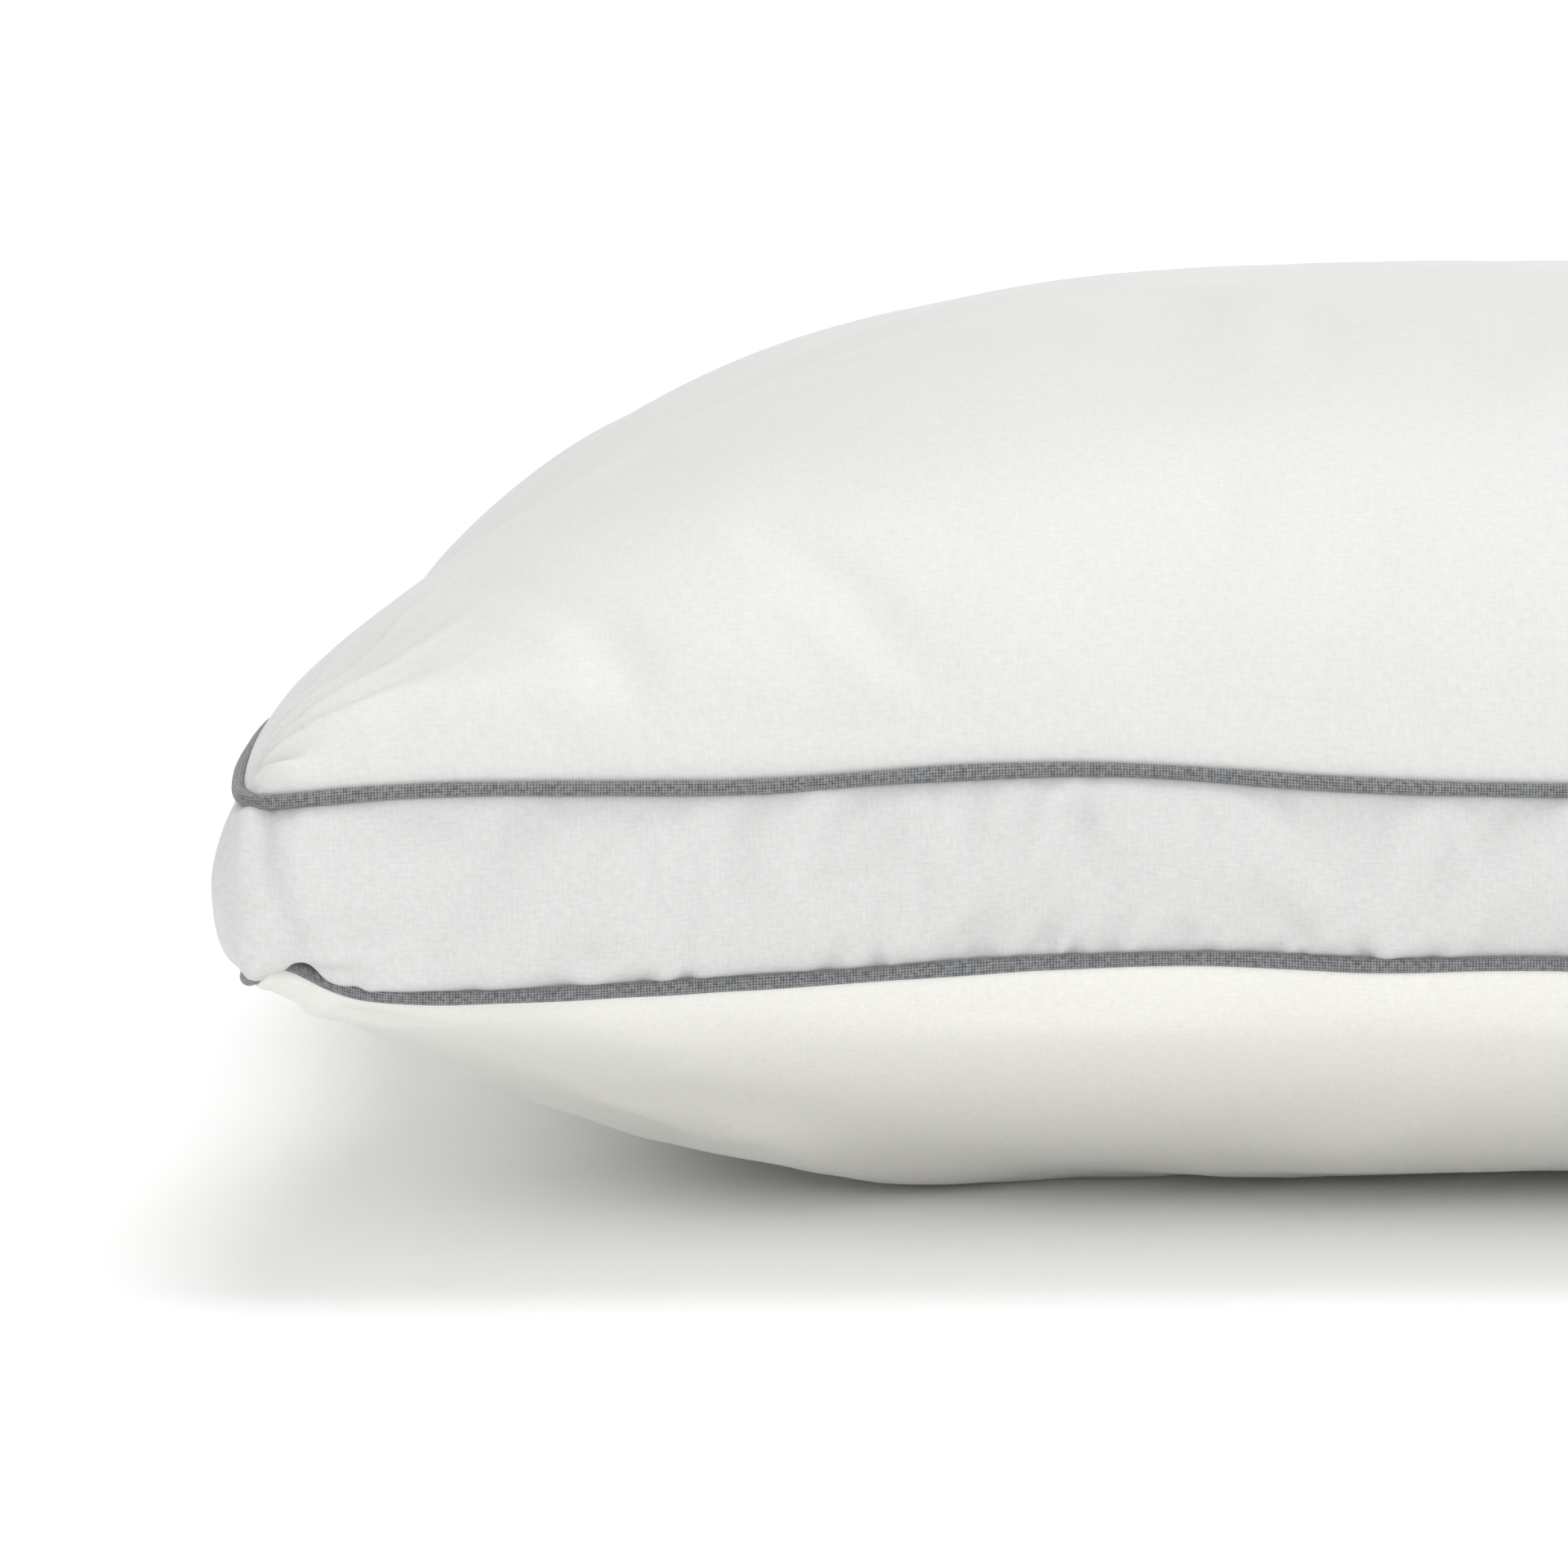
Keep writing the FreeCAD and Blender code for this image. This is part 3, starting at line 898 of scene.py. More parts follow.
@dataclass
class Panel:
    """A domed panel of sateen, sewn round its edge, that turns in beside the piping."""

    name: str
    seam: Seam
    side: int  # 1 for a panel above its seam and -1 for one below
    rise: float
    finish: Finish
    end_power: float = 4.24  # how squarely the panel is filled out towards its short ends
    end_pinch: float = 1.11  # over 1, the seam holds the cloth down beside it
    front_power: float = 2.9
    front_pinch: float = 0.87
    corner_fullness: float = 2.3
    corner_hollow: float = 0.1  # the filling doesn't reach all the way into the corners
    hollow_size: float = 60 * MM
    columns: int = 330
    rows: int = 230
    fold: float = 1.0 * MM  # inwards from the piping's middle line to the fold
    lift: float = 0.9 * MM  # and up
    hem: float = 3.0 * MM  # what shows of the allowance before it is out of sight
    hem_drop: float = 0.6  # how steeply it goes in
    crowding: tuple[float, float] = (0.55, 0.6)  # how much finer the grid is near the seams
    worn: Array = field(init=False, repr=False, compare=False)

    def shares(self) -> tuple[Array, Array]:
        """How the grid's lines are spaced along the panel and across it."""
        return graded(self.columns, self.crowding[0]), graded(self.rows, self.crowding[1])

    def edge(self, tuck: float = 0.0) -> tuple[Array, Array, Array, Array]:
        """Works out the panel's four edges.

        Args:
            tuck: how far past the fold, along the hem.

        Returns:
            The front, right, rear and left edges, front and rear from left to right, the others from
            front to rear.
        """
        across, deep = self.shares()
        a, b, c, d, e = self.seam.plan.corners
        out = -self.fold - tuck
        up = self.side * (self.lift - self.hem_drop * tuck)
        front = self.seam.at(a + across * (b - a), out, up)
        right = self.seam.at(b + deep * (c - b), out, up)
        rear = self.seam.at(d - across * (d - c), out, up)
        left = self.seam.at(e - deep * (e - d), out, up)
        return front, right, rear, left

    def fullness(self, across: Array, deep: Array) -> Array:
        """How far the filling pushes the panel out.

        Args:
            across: shares along the panel, from 0 to 1.
            deep: shares across it.

        Returns:
            0 at the seam and 1 at the crown.
        """
        along = (1 - np.abs(2 * across - 1) ** self.end_power) ** self.end_pinch
        over = (1 - np.abs(2 * deep - 1) ** self.front_power) ** self.front_pinch
        k = self.corner_fullness
        along, over = np.maximum(along, 1e-4), np.maximum(over, 1e-4)
        full = (along**-k + over**-k - 1) ** (-1 / k)
        plan = self.seam.plan
        from_end = np.minimum(across, 1 - across) * plan.length
        from_front = np.minimum(deep, 1 - deep) * plan.width
        return full * (1 - self.corner_hollow * bump_at(np.hypot(from_end, from_front), 0, self.hollow_size))

    def surface(self) -> tuple[Array, Array]:
        """Works out the smooth panel.

        Returns:
            The grid's points, and their places on the flat cloth.
        """
        across, deep = self.shares()
        s, t = np.meshgrid(across, deep, indexing="ij")
        front, right, rear, left = self.edge()
        s3, t3 = s[..., None], t[..., None]
        points = (
            (1 - t3) * front[:, None]
            + t3 * rear[:, None]
            + (1 - s3) * left[None]
            + s3 * right[None]
            - (1 - s3) * (1 - t3) * front[0]
            - s3 * (1 - t3) * front[-1]
            - (1 - s3) * t3 * rear[0]
            - s3 * t3 * rear[-1]
        )
        points[..., 2] = self.height(points[..., 2], s, t)
        cloth = np.stack([s * self.seam.plan.length, t * self.seam.plan.width], -1)
        return points, cloth

    def height(self, edge_height: Array, across: Array, deep: Array) -> Array:
        """Works out how high the panel stands.

        Args:
            edge_height: the height that its four edges give, at each point.
            across: shares along the panel, from 0 to 1.
            deep: shares across it.

        Returns:
            The height at each point.
        """
        full = self.fullness(across, deep)
        level = self.seam.height + self.side * self.lift
        return level + (edge_height - level) * (1 - full) ** 2 + self.side * self.rise * full

    def build(self, wrinkle: Wrinkler | None = None) -> bpy.types.Object:
        """Makes the panel.

        Args:
            wrinkle: what wrinkles the cloth, if anything does.

        Returns:
            The object.
        """
        points, cloth = self.surface()
        if wrinkle:
            points = wrinkle.apply(self.name, points, cloth)
            points[..., 2] = np.maximum(points[..., 2], 0)
        self.worn = points
        front, right, rear, left = self.edge(self.hem)
        grown = np.zeros((self.columns + 2, self.rows + 2, 3))
        grown[1:-1, 1:-1] = points
        grown[1:-1, 0], grown[1:-1, -1] = front, rear
        grown[0, 1:-1], grown[-1, 1:-1] = left, right
        grown[0, 0], grown[-1, 0] = front[0], front[-1]
        grown[0, -1], grown[-1, -1] = rear[0], rear[-1]
        spread = np.pad(cloth, ((1, 1), (1, 1), (0, 0)), mode="edge")
        if self.side < 0:
            grown, spread = grown[::-1], spread[::-1]
        piece = grid_object(self.name, grown, spread)
        dress(piece, self.finish.material(), self.name, self.name)
        return piece


@dataclass
class RestingPanel(Panel):
    """The lower panel, pressed flat where the pillow lies on it."""

    end_power: float = 7.0
    end_pinch: float = 1.71
    front_power: float = 2.51
    front_pinch: float = 1.0
    corner_fullness: float = 2.3
    corner_hollow: float = 0.95
    hollow_size: float = 78 * MM
    press: float = 1.17  # how far the filling would push it past the surface it lies on
    softness: float = 10 * MM  # how gently the cloth lifts off that surface

    def height(self, edge_height: Array, across: Array, deep: Array) -> Array:
        """Works out how high the panel stands, never under the surface that it lies on.

        Args:
            edge_height: the height that its four edges give, at each point.
            across: shares along the panel, from 0 to 1.
            deep: shares across it.

        Returns:
            The height at each point.
        """
        full = self.fullness(across, deep)
        level = self.seam.height - self.lift
        free = level + (edge_height - level) * (1 - full) ** 2 - self.rise * self.press * full
        soft = self.softness
        return np.where(free > soft, free, np.clip(free + soft, 0, None) ** 2 / (4 * soft))


@dataclass
class Gusset:
    """The strip of sateen between the two seams, pushed out by the filling."""

    upper: Seam
    lower: Seam
    bulge: float = 6.0 * MM
    corner_bulge: float = 3.6 * MM  # more than that at the corners
    corner_sag: float = 5.6 * MM  # how far its lower part hangs there, over the seam
    sag_spread: float = 8 * MM
    sag_skirt: float = 0.25  # the share of it that reaches as far as the corner's bulge does
    sag_middle: float = -0.66  # where it is deepest, from -1 at the lower seam to 1 at the upper
    sag_height: float = 0.24
    sag_outward: float = 0.3  # how much it also moves outwards
    corner_reach: float = 26 * MM  # how far along the strip the corner's bulge goes
    even_out: float = 12 * MM  # over what distance its outward direction is evened out
    turn: float = 0.83  # half the angle of its section's arc
    columns: int = 1600
    rows: int = 42
    fold: float = 1.0 * MM
    lift: float = 0.9 * MM
    hem: float = 3 * MM
    hem_gap: float = 0.2 * MM  # between the hem and the piping's middle plane
    worn: tuple[Array, Array] = field(init=False, repr=False, compare=False)

    def surface(self) -> tuple[Array, Array]:
        """Works out the smooth strip.

        Returns:
            The grid's points, and their places on the flat cloth.
        """
        plan = self.upper.plan
        far = np.arange(self.columns) * plan.girth / self.columns
        high = np.linspace(-1, 1, self.rows)
        top = self.upper.at(far, -self.fold, -self.lift)
        bottom = self.lower.at(far, -self.fold, self.lift)
        step = plan.girth / self.columns
        outward = unit(around(self.upper.at(far, 1.0) - self.upper.at(far), self.even_out / step))
        up_share = (np.sin(self.turn * high) / math.sin(self.turn) + 1) / 2
        belly = (np.cos(self.turn * high) - math.cos(self.turn)) / (1 - math.cos(self.turn))
        edge = np.min([np.abs(far - c) for c in plan.corners], axis=0)
        corner = bump_at(edge, 0, self.corner_reach)
        reach = self.bulge + self.corner_bulge * corner
        points = (
            bottom[:, None] * (1 - up_share)[None, :, None]
            + top[:, None] * up_share[None, :, None]
            + outward[:, None] * reach[:, None, None] * belly[None, :, None]
        )
        hang = bump_at(high, self.sag_middle, self.sag_height) * (1 - high**8)
        sag = self.corner_sag * bump_at(edge, 0, self.sag_spread) + self.sag_skirt * self.corner_sag * corner
        sag = sag[:, None] * hang
        points[..., 2] -= sag
        points += self.sag_outward * sag[..., None] * outward[:, None]
        width = np.linalg.norm(top - bottom, axis=1).mean() * self.turn / math.sin(self.turn)
        cloth = np.stack(np.broadcast_arrays(far[:, None], high[None] * width / 2), -1)
        return points, cloth

    def build(self, wrinkle: Wrinkler | None = None) -> bpy.types.Object:
        """Makes the strip.

        Args:
            wrinkle: what wrinkles the cloth, if anything does.

        Returns:
            The object.
        """
        points, cloth = self.surface()
        if wrinkle:
            girth = self.upper.plan.girth
            points = wrinkle.apply("gusset_strip", points, cloth, closed=True, girth=girth)
        self.worn = points, cloth
        inner_top = self.upper.at(cloth[:, 0, 0], -self.fold - self.hem, -self.hem_gap)
        inner_bottom = self.lower.at(cloth[:, 0, 0], -self.fold - self.hem, self.hem_gap)
        points = np.concatenate([inner_bottom[:, None], points, inner_top[:, None]], 1)
        cloth = np.pad(cloth, ((0, 0), (1, 1), (0, 0)), mode="edge")
        piece = grid_object("gusset_strip", points, cloth, closed=True)
        dress(piece, Finish.SIDE.material(), "gusset_strip", "gusset_strip")
        return piece


@dataclass
class Piping:
    """Corded piping: tape folded round a cord and caught in the seam."""

    name: str
    seam: Seam
    diameter: float
    cord_diameter: float
    steps: int = 2700
    sides: int = 14
    unevenness: float = 0.05
    lump_length: float = 5 * MM
    seed: int = 3

    def tube(self, radius: float, steps: int, sides: int, uneven: float) -> tuple[Array, Array]:
        """Works out a tube along the seam.

        Args:
            radius: of the tube.
            steps: how many rings.
            sides: how many points to a ring.
            uneven: how much the radius varies, as a share of it.

        Returns:
            The grid's points, and their places on the flat tape.
        """
        plan = self.seam.plan
        far = np.arange(steps) * plan.girth / steps
        middle = self.seam.at(far)
        outward = self.seam.at(far, 1.0) - middle
        angle = np.arange(sides) * 2 * np.pi / sides
        random = np.random.default_rng(self.seed)
        lumps = around(random.normal(size=(steps, 1)), self.lump_length / (plan.girth / steps))[:, 0]
        swell = radius * (1 + uneven * lumps / max(lumps.std(), 1e-9))
        up = np.array([0, 0, 1.0])
        section = np.cos(angle)[None, :, None] * outward[:, None] + np.sin(angle)[None, :, None] * up
        points = middle[:, None] + section * swell[:, None, None]
        cloth = np.stack(np.broadcast_arrays(far[:, None], (angle * radius)[None]), -1)
        return points, cloth

    def build(self) -> list[bpy.types.Object]:
        """Makes the piping's tape and its cord.

        Returns:
            The two objects.
        """
        made = []
        for part, diameter, finish, fine in (
            ("tape", self.diameter, Finish.TAPE, True),
            ("cord", self.cord_diameter, Finish.CORD, False),
        ):
            steps, sides = (self.steps, self.sides) if fine else (self.steps // 3, 8)
            points, cloth = self.tube(diameter / 2, steps, sides, self.unevenness if fine else 0.0)
            node = f"{self.name}_{part}"
            piece = grid_object(node, points, cloth, closed=True, tube=True)
            made.append(dress(piece, finish.material(), node, node))
        return made


# --------------------------------------------------------------------------- what is sewn inside
@dataclass(frozen=True)
class Thread:
    """A sewing thread that follows a line."""

    diameter: float
    sides: int = 6

    def tube(self, line: Array, closed: bool = False) -> tuple[Array, Array]:
        """Works out a round tube along a line.

        Args:
            line: the points of its middle.
            closed: whether the last joins the first.

        Returns:
            The grid's points, and their places on the thread.
        """
        if closed:
            along = unit(np.roll(line, -1, 0) - np.roll(line, 1, 0))
        else:
            along = unit(np.gradient(line, axis=0))
        aside = unit(np.cross(along, (0.13, 0.07, 1.0)))
        over = np.cross(aside, along)
        angle = np.arange(self.sides) * 2 * np.pi / self.sides
        ring = np.cos(angle)[None, :, None] * aside[:, None] + np.sin(angle)[None, :, None] * over[:, None]
        points = line[:, None] + ring * self.diameter / 2
        step = np.linalg.norm(np.diff(line, axis=0), axis=1)
        far = np.concatenate([[0], np.cumsum(step)])
        cloth = np.stack(np.broadcast_arrays(far[:, None], (angle * self.diameter / 2)[None]), -1)
        return points, cloth


@dataclass
class SeamThread:
    """One of a lockstitch's two threads, on the seam allowances behind the piping."""

    name: str
    seam: Seam
    side: int  # 1 above the allowances and -1 below them
    inset: float = 4.3 * MM  # from the piping's middle line to the stitches
    stack: float = 1.4 * MM  # from the seam's plane to the thread
    dip: float = 0.35 * MM  # how far it goes in where the two threads lock
    stitch: float = 3.2 * MM
    thread: Thread = Thread(0.4 * MM)

    def build(self) -> bpy.types.Object:
        """Makes the thread.

        Returns:
            The object.
        """
        count = round(self.seam.plan.girth / self.stitch)
        steps = 4 * count
        far = np.arange(steps) * self.seam.plan.girth / steps
        line = self.seam.at(far, -self.inset)
        afloat = 0.5 - 0.5 * np.cos(2 * np.pi * np.arange(steps) / 4)
        line[:, 2] += self.side * (self.stack - self.dip * (1 - afloat))
        points, cloth = self.thread.tube(line, closed=True)
        piece = grid_object(self.name, points, cloth, closed=True, tube=True)
        return dress(piece, Finish.THREAD.material(), self.name, self.name)


@dataclass
class BackSeam:
    """What is sewn at the back: the strip's upright join, the closing stitches and the label."""

    gusset: Gusset
    join_x: float = 110 * MM
    join_margin: float = 3 * MM  # between its threads' ends and the strip's edges
    join_aside: float = 1.3 * MM  # from its middle to either thread
    join_depth: float = 3.4 * MM  # behind the cloth
    opening_x: float = -80 * MM
    opening_length: float = 220 * MM
    pitch: float = 3.2 * MM
    stitch: float = 2.6 * MM
    stitch_rise: float = 0.35 * MM
    stitch_sunk: float = 0.12 * MM  # how deep its ends go in
    closing_height: float = 2.4 * MM
    label_height: float = 22 * MM
    label_flap: float = 38 * MM
    label_tongue: float = 9 * MM
    label_standoff: float = 0.7 * MM
    label_wave: float = 0.9 * MM
    label_bend: float = 1.2 * MM
    thread: Thread = Thread(0.4 * MM)

    def along_back(self, x: float) -> float:
        """How far round the strip a place on the back lies."""
        corners = self.gusset.upper.plan.corners
        return (corners[2] + corners[3]) / 2 - x

    def face(self, far: Array, high: Array, out: float) -> Array:
        """Points on the strip's outer face.

        Args:
            far: how far round they lie.
            high: how high up the cloth, from its middle.
            out: how far out from the cloth they stand.

        Returns:
            As many points as far and high have, by 3.
        """
        points, cloth = self.gusset.worn
        girth = self.gusset.upper.plan.girth
        rows, columns = points.shape[:2]
        row = np.asarray(far) / girth * rows
        heights = cloth[0, :, 1]
        column = np.interp(high, heights, np.arange(columns))
        low_row, low_column = np.floor(row).astype(int), np.minimum(np.floor(column).astype(int), columns - 2)
        part_row, part_column = (row - low_row)[..., None], (column - low_column)[..., None]
        normals = grid_normals(points, closed=True)
        spot = np.zeros((*low_row.shape, 3))
        for next_row, share_row in ((0, 1 - part_row), (1, part_row)):
            for next_column, share_column in ((0, 1 - part_column), (1, part_column)):
                index = (low_row + next_row) % rows, low_column + next_column
                spot = spot + (points[index] + normals[index] * out) * share_row * share_column
        return spot

    def build(self) -> None:
        """Makes the join's threads, the closing stitches and the label."""
        self.join_threads()
        self.closing_stitches()
        self.label()

    def join_threads(self) -> None:
        """Makes the two threads of the strip's upright join, behind the cloth."""
        half = self.gusset.worn[1][0, -1, 1] - self.join_margin
        high = np.linspace(-half, half, 40)
        grids = []
        for side in (-1, 1):
            far = np.full_like(high, self.along_back(self.join_x) + side * self.join_aside)
            grids.append(self.thread.tube(self.face(far, high, -self.join_depth)))
        merge("gusset_join_thread", grids, Finish.THREAD)

    def closing_stitches(self) -> None:
        """Makes the row of stitches that shuts the opening."""
        count = int(self.opening_length / self.pitch)
        low = self.gusset.worn[1][0, 0, 1] + self.closing_height
        grids = []
        for index in range(count):
            middle = self.along_back(self.opening_x + (index - (count - 1) / 2) * self.pitch)
            share = np.linspace(-0.5, 0.5, 9)
            far = middle + share * self.stitch
            line = self.face(far, np.full_like(far, low), 0.0)
            outward = self.face(far, np.full_like(far, low), 1.0) - line
            out = self.stitch_rise * (1 - (2 * share) ** 4) - self.stitch_sunk
            line = line + outward * out[:, None]
            grids.append(self.thread.tube(line))
        merge("closing_stitches", grids, Finish.THREAD)

    def label(self) -> None:
        """Makes the blank label, its tongue held in the join and its flap lying along the strip."""
        reach = self.label_tongue + self.label_flap
        run = np.linspace(0, reach, 60)
        high = np.linspace(-0.5, 0.5, 16) * self.label_height
        start = self.along_back(self.join_x)
        past = np.clip(run - self.label_tongue, 0, None)
        far = start - np.where(run < self.label_tongue, 0, past)
        wave = self.label_wave * np.sin(past / self.label_flap * math.pi * 1.3) ** 2
        lift = self.label_standoff + wave
        rise = smooth_step(past, 0, 2 * self.label_bend)
        out = np.where(run < self.label_tongue, run - self.label_tongue, lift * rise)
        points = np.stack([self.face(far, np.full_like(far, h), 0.0) for h in high], 1)
        outward = np.stack([self.face(far, np.full_like(far, h), 1.0) for h in high], 1) - points
        curl = 1 + 0.4 * (np.abs(high) / self.label_height * 2) ** 2 * smooth_step(past, 0, 0.03)[:, None]
        points = points + outward * (out[:, None] * np.where(out[:, None] > 0, curl, 1))[..., None]
        cloth = np.stack(np.meshgrid(run, high, indexing="ij"), -1)
        piece = grid_object("care_label", points, cloth)
        dress(piece, Finish.LABEL.material(), "care_label", "care_label")


def merge(name: str, grids: list[tuple[Array, Array]], finish: Finish) -> bpy.types.Object:
    """Makes one piece of several tubes.

    Args:
        name: the piece's and the CAD node's name.
        grids: each tube's points and places.
        finish: what they are made of.

    Returns:
        The object.
    """
    parts = [grid_object(f"{name}_{i}", points, cloth, tube=True) for i, (points, cloth) in enumerate(grids)]
    piece = join_pieces(parts)
    piece.name = name
    return dress(piece, finish.material(), name, name)


@dataclass
class Filling:
    """The loose fibre that fills the pillow."""

    top: Panel
    bottom: RestingPanel
    gusset: Gusset
    columns: int = 150
    rows: int = 104
    clearance: float = 3.5 * MM
    lump: float = 0.8 * MM
    pitch: float = 4 * MM  # of the grid, on the flat
    seam_gap: float = 0.5 * MM
    base: float = 1 * MM  # how far it stays above the surface that the pillow lies on
    seed: int = 21

    def beside_gusset(self, panel: Panel, far: Array, out: float, share: float) -> Array:
        """Points between the two seams, where the filling meets the gusset.

        Args:
            panel: the panel that this half of the filling lies under.
            far: how far round each point lies.
            out: how far outwards from the pipings' middles.
            share: how near the panel's own seam they lie, from 0 at the other seam to 1.

        Returns:
            As many points as far has, by 3.
        """
        up = -panel.side * self.seam_gap
        high = self.gusset.upper.at(far, out, up)
        low = self.gusset.lower.at(far, out, up)
        return high * share + low * (1 - share) if panel.side > 0 else high * (1 - share) + low * share

    def half(self, panel: Panel, points: Array) -> Array:
        """Works out the half of the filling that lies under one panel.

        Args:
            panel: the panel.
            points: its worn grid.

        Returns:
            The grid's points.
        """
        across, deep = panel.shares()
        even_across, even_deep = np.linspace(0, 1, self.columns), np.linspace(0, 1, self.rows)
        grid = between(points, across, even_across)
        grid = between(grid.swapaxes(0, 1), deep, even_deep).swapaxes(0, 1)
        random = np.random.default_rng(self.seed)
        lumps = around(around(random.normal(size=grid.shape[:2]), 3.0).T, 3.0).T
        inward = -grid_normals(grid) * panel.side
        grid = grid + inward * (self.clearance + self.lump * np.clip(lumps / lumps.std(), -2, 2))[..., None]
        a, b, c, d, e = panel.seam.plan.corners
        # Each ring inwards from the gusset: how far out it lies, and how near the panel's own seam.
        rim = (self.gusset.bulge - self.clearance, 0.5), (-1 * MM, 0.75), (-4 * MM, 1.0)
        for ring, (out, share) in enumerate(rim):
            inner = slice(ring, -ring or None)
            grid[inner, ring] = self.beside_gusset(panel, a + even_across * (b - a), out, share)[inner]
            grid[inner, -1 - ring] = self.beside_gusset(panel, d - even_across * (d - c), out, share)[inner]
            grid[ring, inner] = self.beside_gusset(panel, e - even_deep * (e - d), out, share)[inner]
            grid[-1 - ring, inner] = self.beside_gusset(panel, b + even_deep * (c - b), out, share)[inner]
        return grid

    def build(self, top_points: Array, bottom_points: Array) -> bpy.types.Object:
        """Makes the filling.

        Args:
            top_points: the top panel's worn grid.
            bottom_points: the bottom panel's.

        Returns:
            The object.
        """
        upper, lower = self.half(self.top, top_points), self.half(self.bottom, bottom_points)
        rim = np.zeros(upper.shape[:2], bool)
        rim[[0, -1]] = True
        rim[:, [0, -1]] = True
        lower[rim] = upper[rim]
        lower[..., 2] = np.maximum(lower[..., 2], self.base)
        places = np.meshgrid(np.arange(self.columns), np.arange(self.rows), indexing="ij")
        flat = np.stack(places, -1) * self.pitch
        halves = [grid_object("fibre_fill", upper, flat), grid_object("fibre_under", lower[::-1], flat)]
        piece = join_pieces(halves)
        shape = bmesh.new()
        shape.from_mesh(piece.data)
        bmesh.ops.remove_doubles(shape, verts=shape.verts, dist=0.01 * MM)
        shape.to_mesh(piece.data)
        shape.free()
        piece.data.shade_smooth()
        dress(piece, Finish.FIBRE.material(), "fibre_fill", "fibre_fill")
        return piece


# ------------------------------------------------------------------------------------------ studio
@dataclass
class Studio:
    """A white table in a bright tent, with one large soft lamp overhead, and the camera."""

    eye: tuple[float, float, float] = (-0.212, -1.807, 0.300)
    pitch: float = 7.17  # degrees below level
    lens: float = 189.0
    tent: float = 1.1  # the tent's brightness level with the table
    roof: float = 1.0  # and overhead
    panel: float = 1.25  # how much brighter its front wall is
    side: float = 0.27  # how much brighter its right wall is than the middle, and its left wall dimmer
    lamp: float = 0.95  # watts to the square metre
    lamp_from: tuple[float, float, float] = (0.15, 0.2, 0.97)
    softness: float = 35.0  # the lamp's width, in degrees

    def build(self) -> None:
        """Makes the table, the tent, the lamp and the camera."""
        scene = bpy.context.scene
        scene.view_settings.view_transform = "Standard"
        self.table()
        self.surroundings()
        sun = bpy.data.lights.new("lamp", "SUN")
        sun.energy = self.lamp
        sun.angle = math.radians(self.softness)
        lamp = bpy.data.objects.new("lamp", sun)
        lamp.rotation_euler = (-Vector(self.lamp_from)).to_track_quat("-Z", "Y").to_euler()
        scene.collection.objects.link(lamp)
        camera = bpy.data.cameras.new("camera")
        camera.lens = self.lens
        camera.sensor_width = 36.0
        camera.clip_end = 100.0
        eye = bpy.data.objects.new("camera", camera)
        eye.location = self.eye
        eye.rotation_euler = (math.radians(90 - self.pitch), 0, 0)
        scene.collection.objects.link(eye)
        scene.camera = eye

    def table(self) -> None:
        """Makes the table's white top."""
        bpy.ops.mesh.primitive_plane_add(size=60.0, location=(0, 0, 0))
        top = bpy.context.active_object
        top.name = "table_top"
        paper = bpy.data.materials.new("studio_paper")
        paper.use_nodes = True
        surface = paper.node_tree.nodes["Principled BSDF"]
        surface.inputs["Base Color"].default_value = linear("#FEFEFE")
        surface.inputs["Roughness"].default_value = 1.0
        surface.inputs["Specular IOR Level"].default_value = 0.0
        top.data.materials.append(paper)

    def surroundings(self) -> None:
        """Makes the tent: bright at the table's level, most so in front and to the right, dimmer overhead."""
        world = bpy.data.worlds.new("tent")
        bpy.context.scene.world = world
        world.use_nodes = True
        tree = world.node_tree
        tree.nodes.clear()
        place = add_node(tree, "ShaderNodeTexCoord")
        split = add_node(tree, "ShaderNodeSeparateXYZ", {"Vector": place.outputs["Generated"]})
        level = add_node(
            tree,
            "ShaderNodeMapRange",
            {
                "Value": split.outputs["Z"],
                "From Min": 0.1,
                "From Max": 0.6,
                "To Min": self.tent,
                "To Max": self.roof,
            },
            interpolation_type="SMOOTHSTEP",
        )
        low = add_node(
            tree,
            "ShaderNodeMapRange",
            {
                "Value": split.outputs["Z"],
                "From Min": 0.3,
                "From Max": 0.55,
                "To Min": self.panel,
                "To Max": 0.0,
            },
            interpolation_type="SMOOTHSTEP",
        )
        front = add_node(
            tree,
            "ShaderNodeMapRange",
            {"Value": split.outputs["Y"], "From Min": -0.7, "From Max": -0.2, "To Min": 1.0, "To Max": 0.0},
            interpolation_type="SMOOTHSTEP",
        )
        glow_level = add_node(
            tree,
            "ShaderNodeMath",
            {0: low.outputs["Result"], 1: front.outputs["Result"], 2: level.outputs["Result"]},
            operation="MULTIPLY_ADD",
        )
        right = add_node(
            tree,
            "ShaderNodeMapRange",
            {
                "Value": split.outputs["X"],
                "From Min": -1.0,
                "From Max": 1.0,
                "To Min": 1 - self.side,
                "To Max": 1 + self.side,
            },
        )
        strength = add_node(
            tree,
            "ShaderNodeMath",
            {0: glow_level.outputs["Value"], 1: right.outputs["Result"]},
            operation="MULTIPLY",
        )
        glow = add_node(tree, "ShaderNodeBackground", {"Strength": strength.outputs["Value"]})
        add_node(tree, "ShaderNodeOutputWorld", {"Surface": glow.outputs["Background"]})


CROWN_LEFT = 0.965  # how much of the CAD's rise is left once the fibre has settled
PIPING_LEFT = 0.94  # how much of the CAD's piping is left once it is sewn in tight
STRIP_EDGE = 20.5  # from the strip's middle to its edges on the flat cloth, in mm
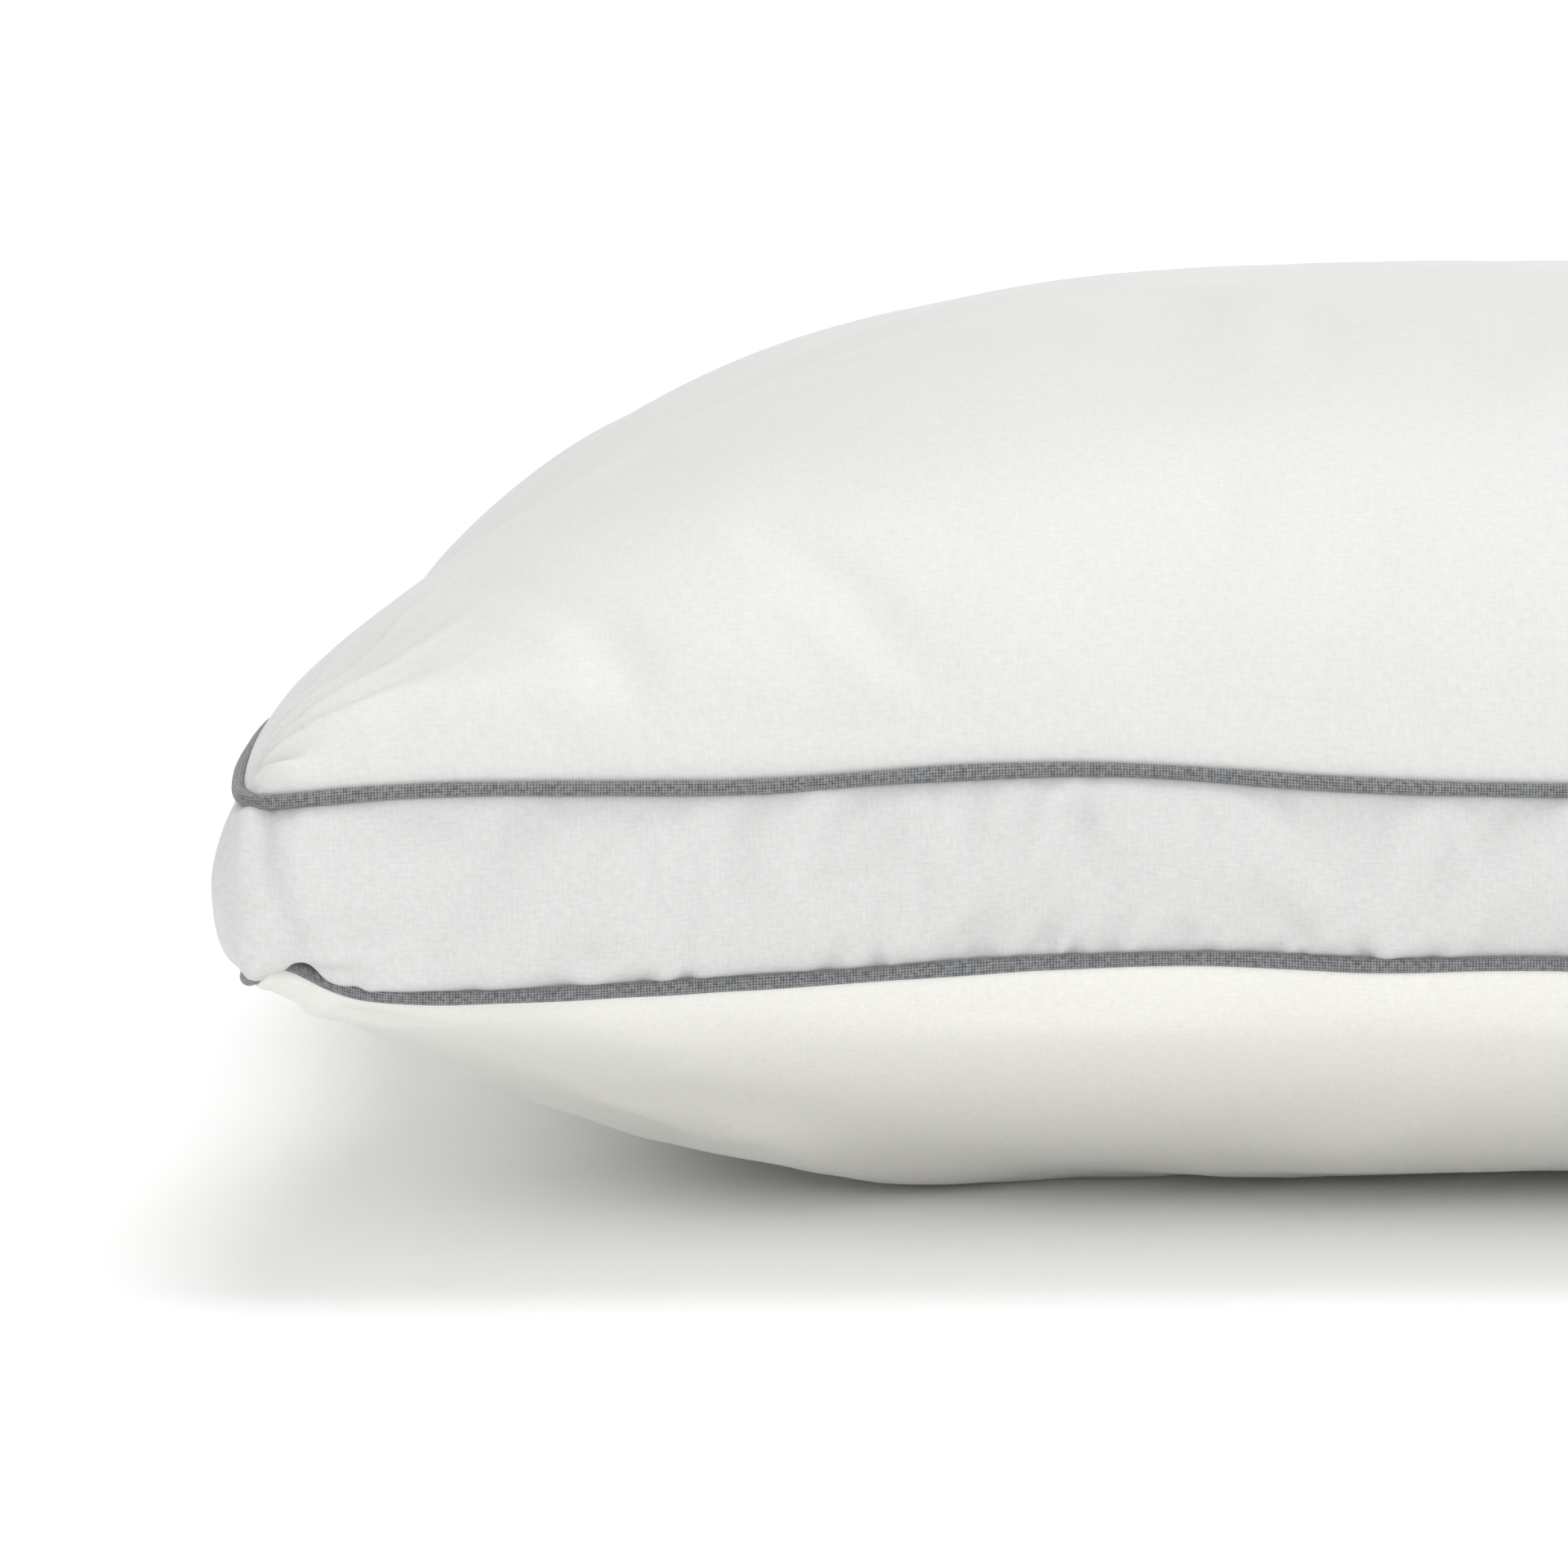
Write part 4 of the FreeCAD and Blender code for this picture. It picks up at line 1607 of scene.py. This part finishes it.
# The seams' waves: how far round, how high and how wide each is, in mm.
UPPER_WAVES = (
    (45, 1.1, 60),
    (160, 4.0, 55),
    (-110, 4.6, 60),
    (-330, -8.0, 150),
    (-446, -10.0, 90),
    (500, 2.0, 70),
    (860, 3.0, 90),
    (1250, -2.5, 110),
    (1480, 2.5, 60),
)
LOWER_WAVES = (
    (36, -2.2, 36),
    (184, 4.4, 52),
    (258, 1.5, 45),
    (-60, -2.0, 40),
    (440, 2.0, 60),
    (590, -2.5, 40),
    (700, -2.0, 50),
    (900, 2.5, 70),
    (1300, 3.0, 80),
    (1560, -2.0, 60),
)
TOP_CREASES = (
    Crease((2, 9), (21, 7), 1.7, 2.2, 0.6),  # the tuck beside the front left corner
    Crease((3, 12), (48, 25), 1.6, 1.7, 0.8),  # and the folds that fan out from it
    Crease((3, 15), (54, 50), 1.6, 1.7, 0.8),
    Crease((3, 20), (48, 84), 1.6, 1.6, 0.8),
    Crease((2, 28), (36, 112), 1.7, 1.4, 0.8),
    Crease((2, 112), (85, 190), 4.0, 0.9, 0.8),  # and the long fold that runs up from the left seam
    Crease((2, 140), (70, 235), 4.6, 0.9, 0.7),
    Crease((96, 5), (168, 8), 1.8, 0.5, 0.5),  # along the front seam
)
GUSSET_CREASES = (
    Crease((5, 21), (7, -34), 3.4, 2.6, 0.6),  # the strip turns the front left corner in a soft fold
    Crease((163, 14), (160, -13), 3.4, 2.2, 0.5),  # the deepest pucker of the front
    Crease((157.5, -18), (161, -4), 1.9, 1.9, 0.6),
    Crease((143, -19), (145, -6), 2.4, 1.1),
    Crease((170, -19), (171, -4), 2.4, 1.2),
    Crease((185, -19), (183, -8), 2.0, 0.9),
    Crease((203, -19), (204, -7), 2.2, 1.0),
    Crease((220, -19), (222, -6), 2.6, 1.2),
    Crease((6, -8), (40, -5), 2.4, 1.4, 0.7),  # folds pulled round the front left corner
    Crease((10, -13), (46, -12), 2.2, 1.1, 0.7),
    Crease((118, 16), (102, 2), 3.6, 0.9, 0.6),
)


def design(
    upper_level: float, lower_level: float, length: float, width: float, rise: float
) -> tuple[Seam, Seam, Panel, RestingPanel, Gusset]:
    """Sets out the pillow's cloth from the CAD's sizes.

    Args:
        upper_level: the height of the upper piping's middle line.
        lower_level: the height of the lower one.
        length: between the piping's middle lines at the short ends.
        width: between them at the long sides.
        rise: from the upper seam to the crown.

    Returns:
        The two seams, the two panels and the gusset.
    """
    plan = Plan(length, width)
    upper = Seam(
        plan,
        upper_level,
        corner=14 * MM,
        corner_rise=(-1.0 * MM, 16 * MM),
        rises=UPPER_WAVES,
        seed=11,
    )
    lower = Seam(
        plan,
        lower_level,
        corner=34 * MM,
        corner_rise=(5.0 * MM, 15 * MM),
        rises=LOWER_WAVES,
        seed=12,
    )
    top = Panel("top_panel", upper, 1, CROWN_LEFT * rise, Finish.TOP)
    bottom = RestingPanel("bottom_panel", lower, -1, lower_level, Finish.UNDER)
    return upper, lower, top, bottom, Gusset(upper, lower)


def main() -> None:
    """Builds the pillow and the studio."""
    logging.basicConfig(level=logging.INFO, format="%(name)s: %(message)s")
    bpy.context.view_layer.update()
    upper_low, upper_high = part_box("upper_piping_tape")
    lower_low, lower_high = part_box("lower_piping_tape")
    cord_low, cord_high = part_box("upper_piping_cord")
    diameter = lower_high.z - lower_low.z
    upper_level = (upper_low.z + upper_high.z) / 2
    upper, lower, top, bottom, gusset = design(
        upper_level,
        (lower_low.z + lower_high.z) / 2,
        upper_high.x - upper_low.x - diameter,
        upper_high.y - upper_low.y - diameter,
        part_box("top_panel")[1].z - upper_level,
    )
    length, width, girth = (x / MM for x in (upper.plan.length, upper.plan.width, upper.plan.girth))
    # TOP_CREASES hold the front left corner's own folds, so the first fan is left out.
    top_folds = corner_folds(length, width, seed=1)[len(FAN) :]
    top.build(Wrinkler(Relaxer(gain=0.4, seed=5), (*top_folds, *TOP_CREASES)))
    bottom_folds = corner_folds(length, width, seed=2, depth=0.8)
    bottom.build(Wrinkler(Relaxer(gain=0.4, seed=6), tuple(bottom_folds)))
    gusset.build(
        Wrinkler(
            Relaxer(surplus=(0.02, 0.09), spacing=3 * MM, broad=16 * MM, limit=1.8 * MM, seed=7),
            (
                *seam_puckers(girth, -STRIP_EDGE, 1, seed=3, spacing=19, depth=0.95),
                *seam_puckers(girth, STRIP_EDGE, -1, seed=4, spacing=40, depth=0.55),
                *GUSSET_CREASES,
            ),
        )
    )
    for name, seam in (("upper", upper), ("lower", lower)):
        cord = cord_high.z - cord_low.z
        Piping(f"{name}_piping", seam, PIPING_LEFT * diameter, PIPING_LEFT * cord).build()
        SeamThread(f"{name}_seam_needle_thread", seam, 1).build()
        SeamThread(f"{name}_seam_bobbin_thread", seam, -1).build()
    BackSeam(gusset).build()
    Filling(top, bottom, gusset).build(top.worn, bottom.worn)
    Studio().build()


if __name__ == "__main__":
    main()
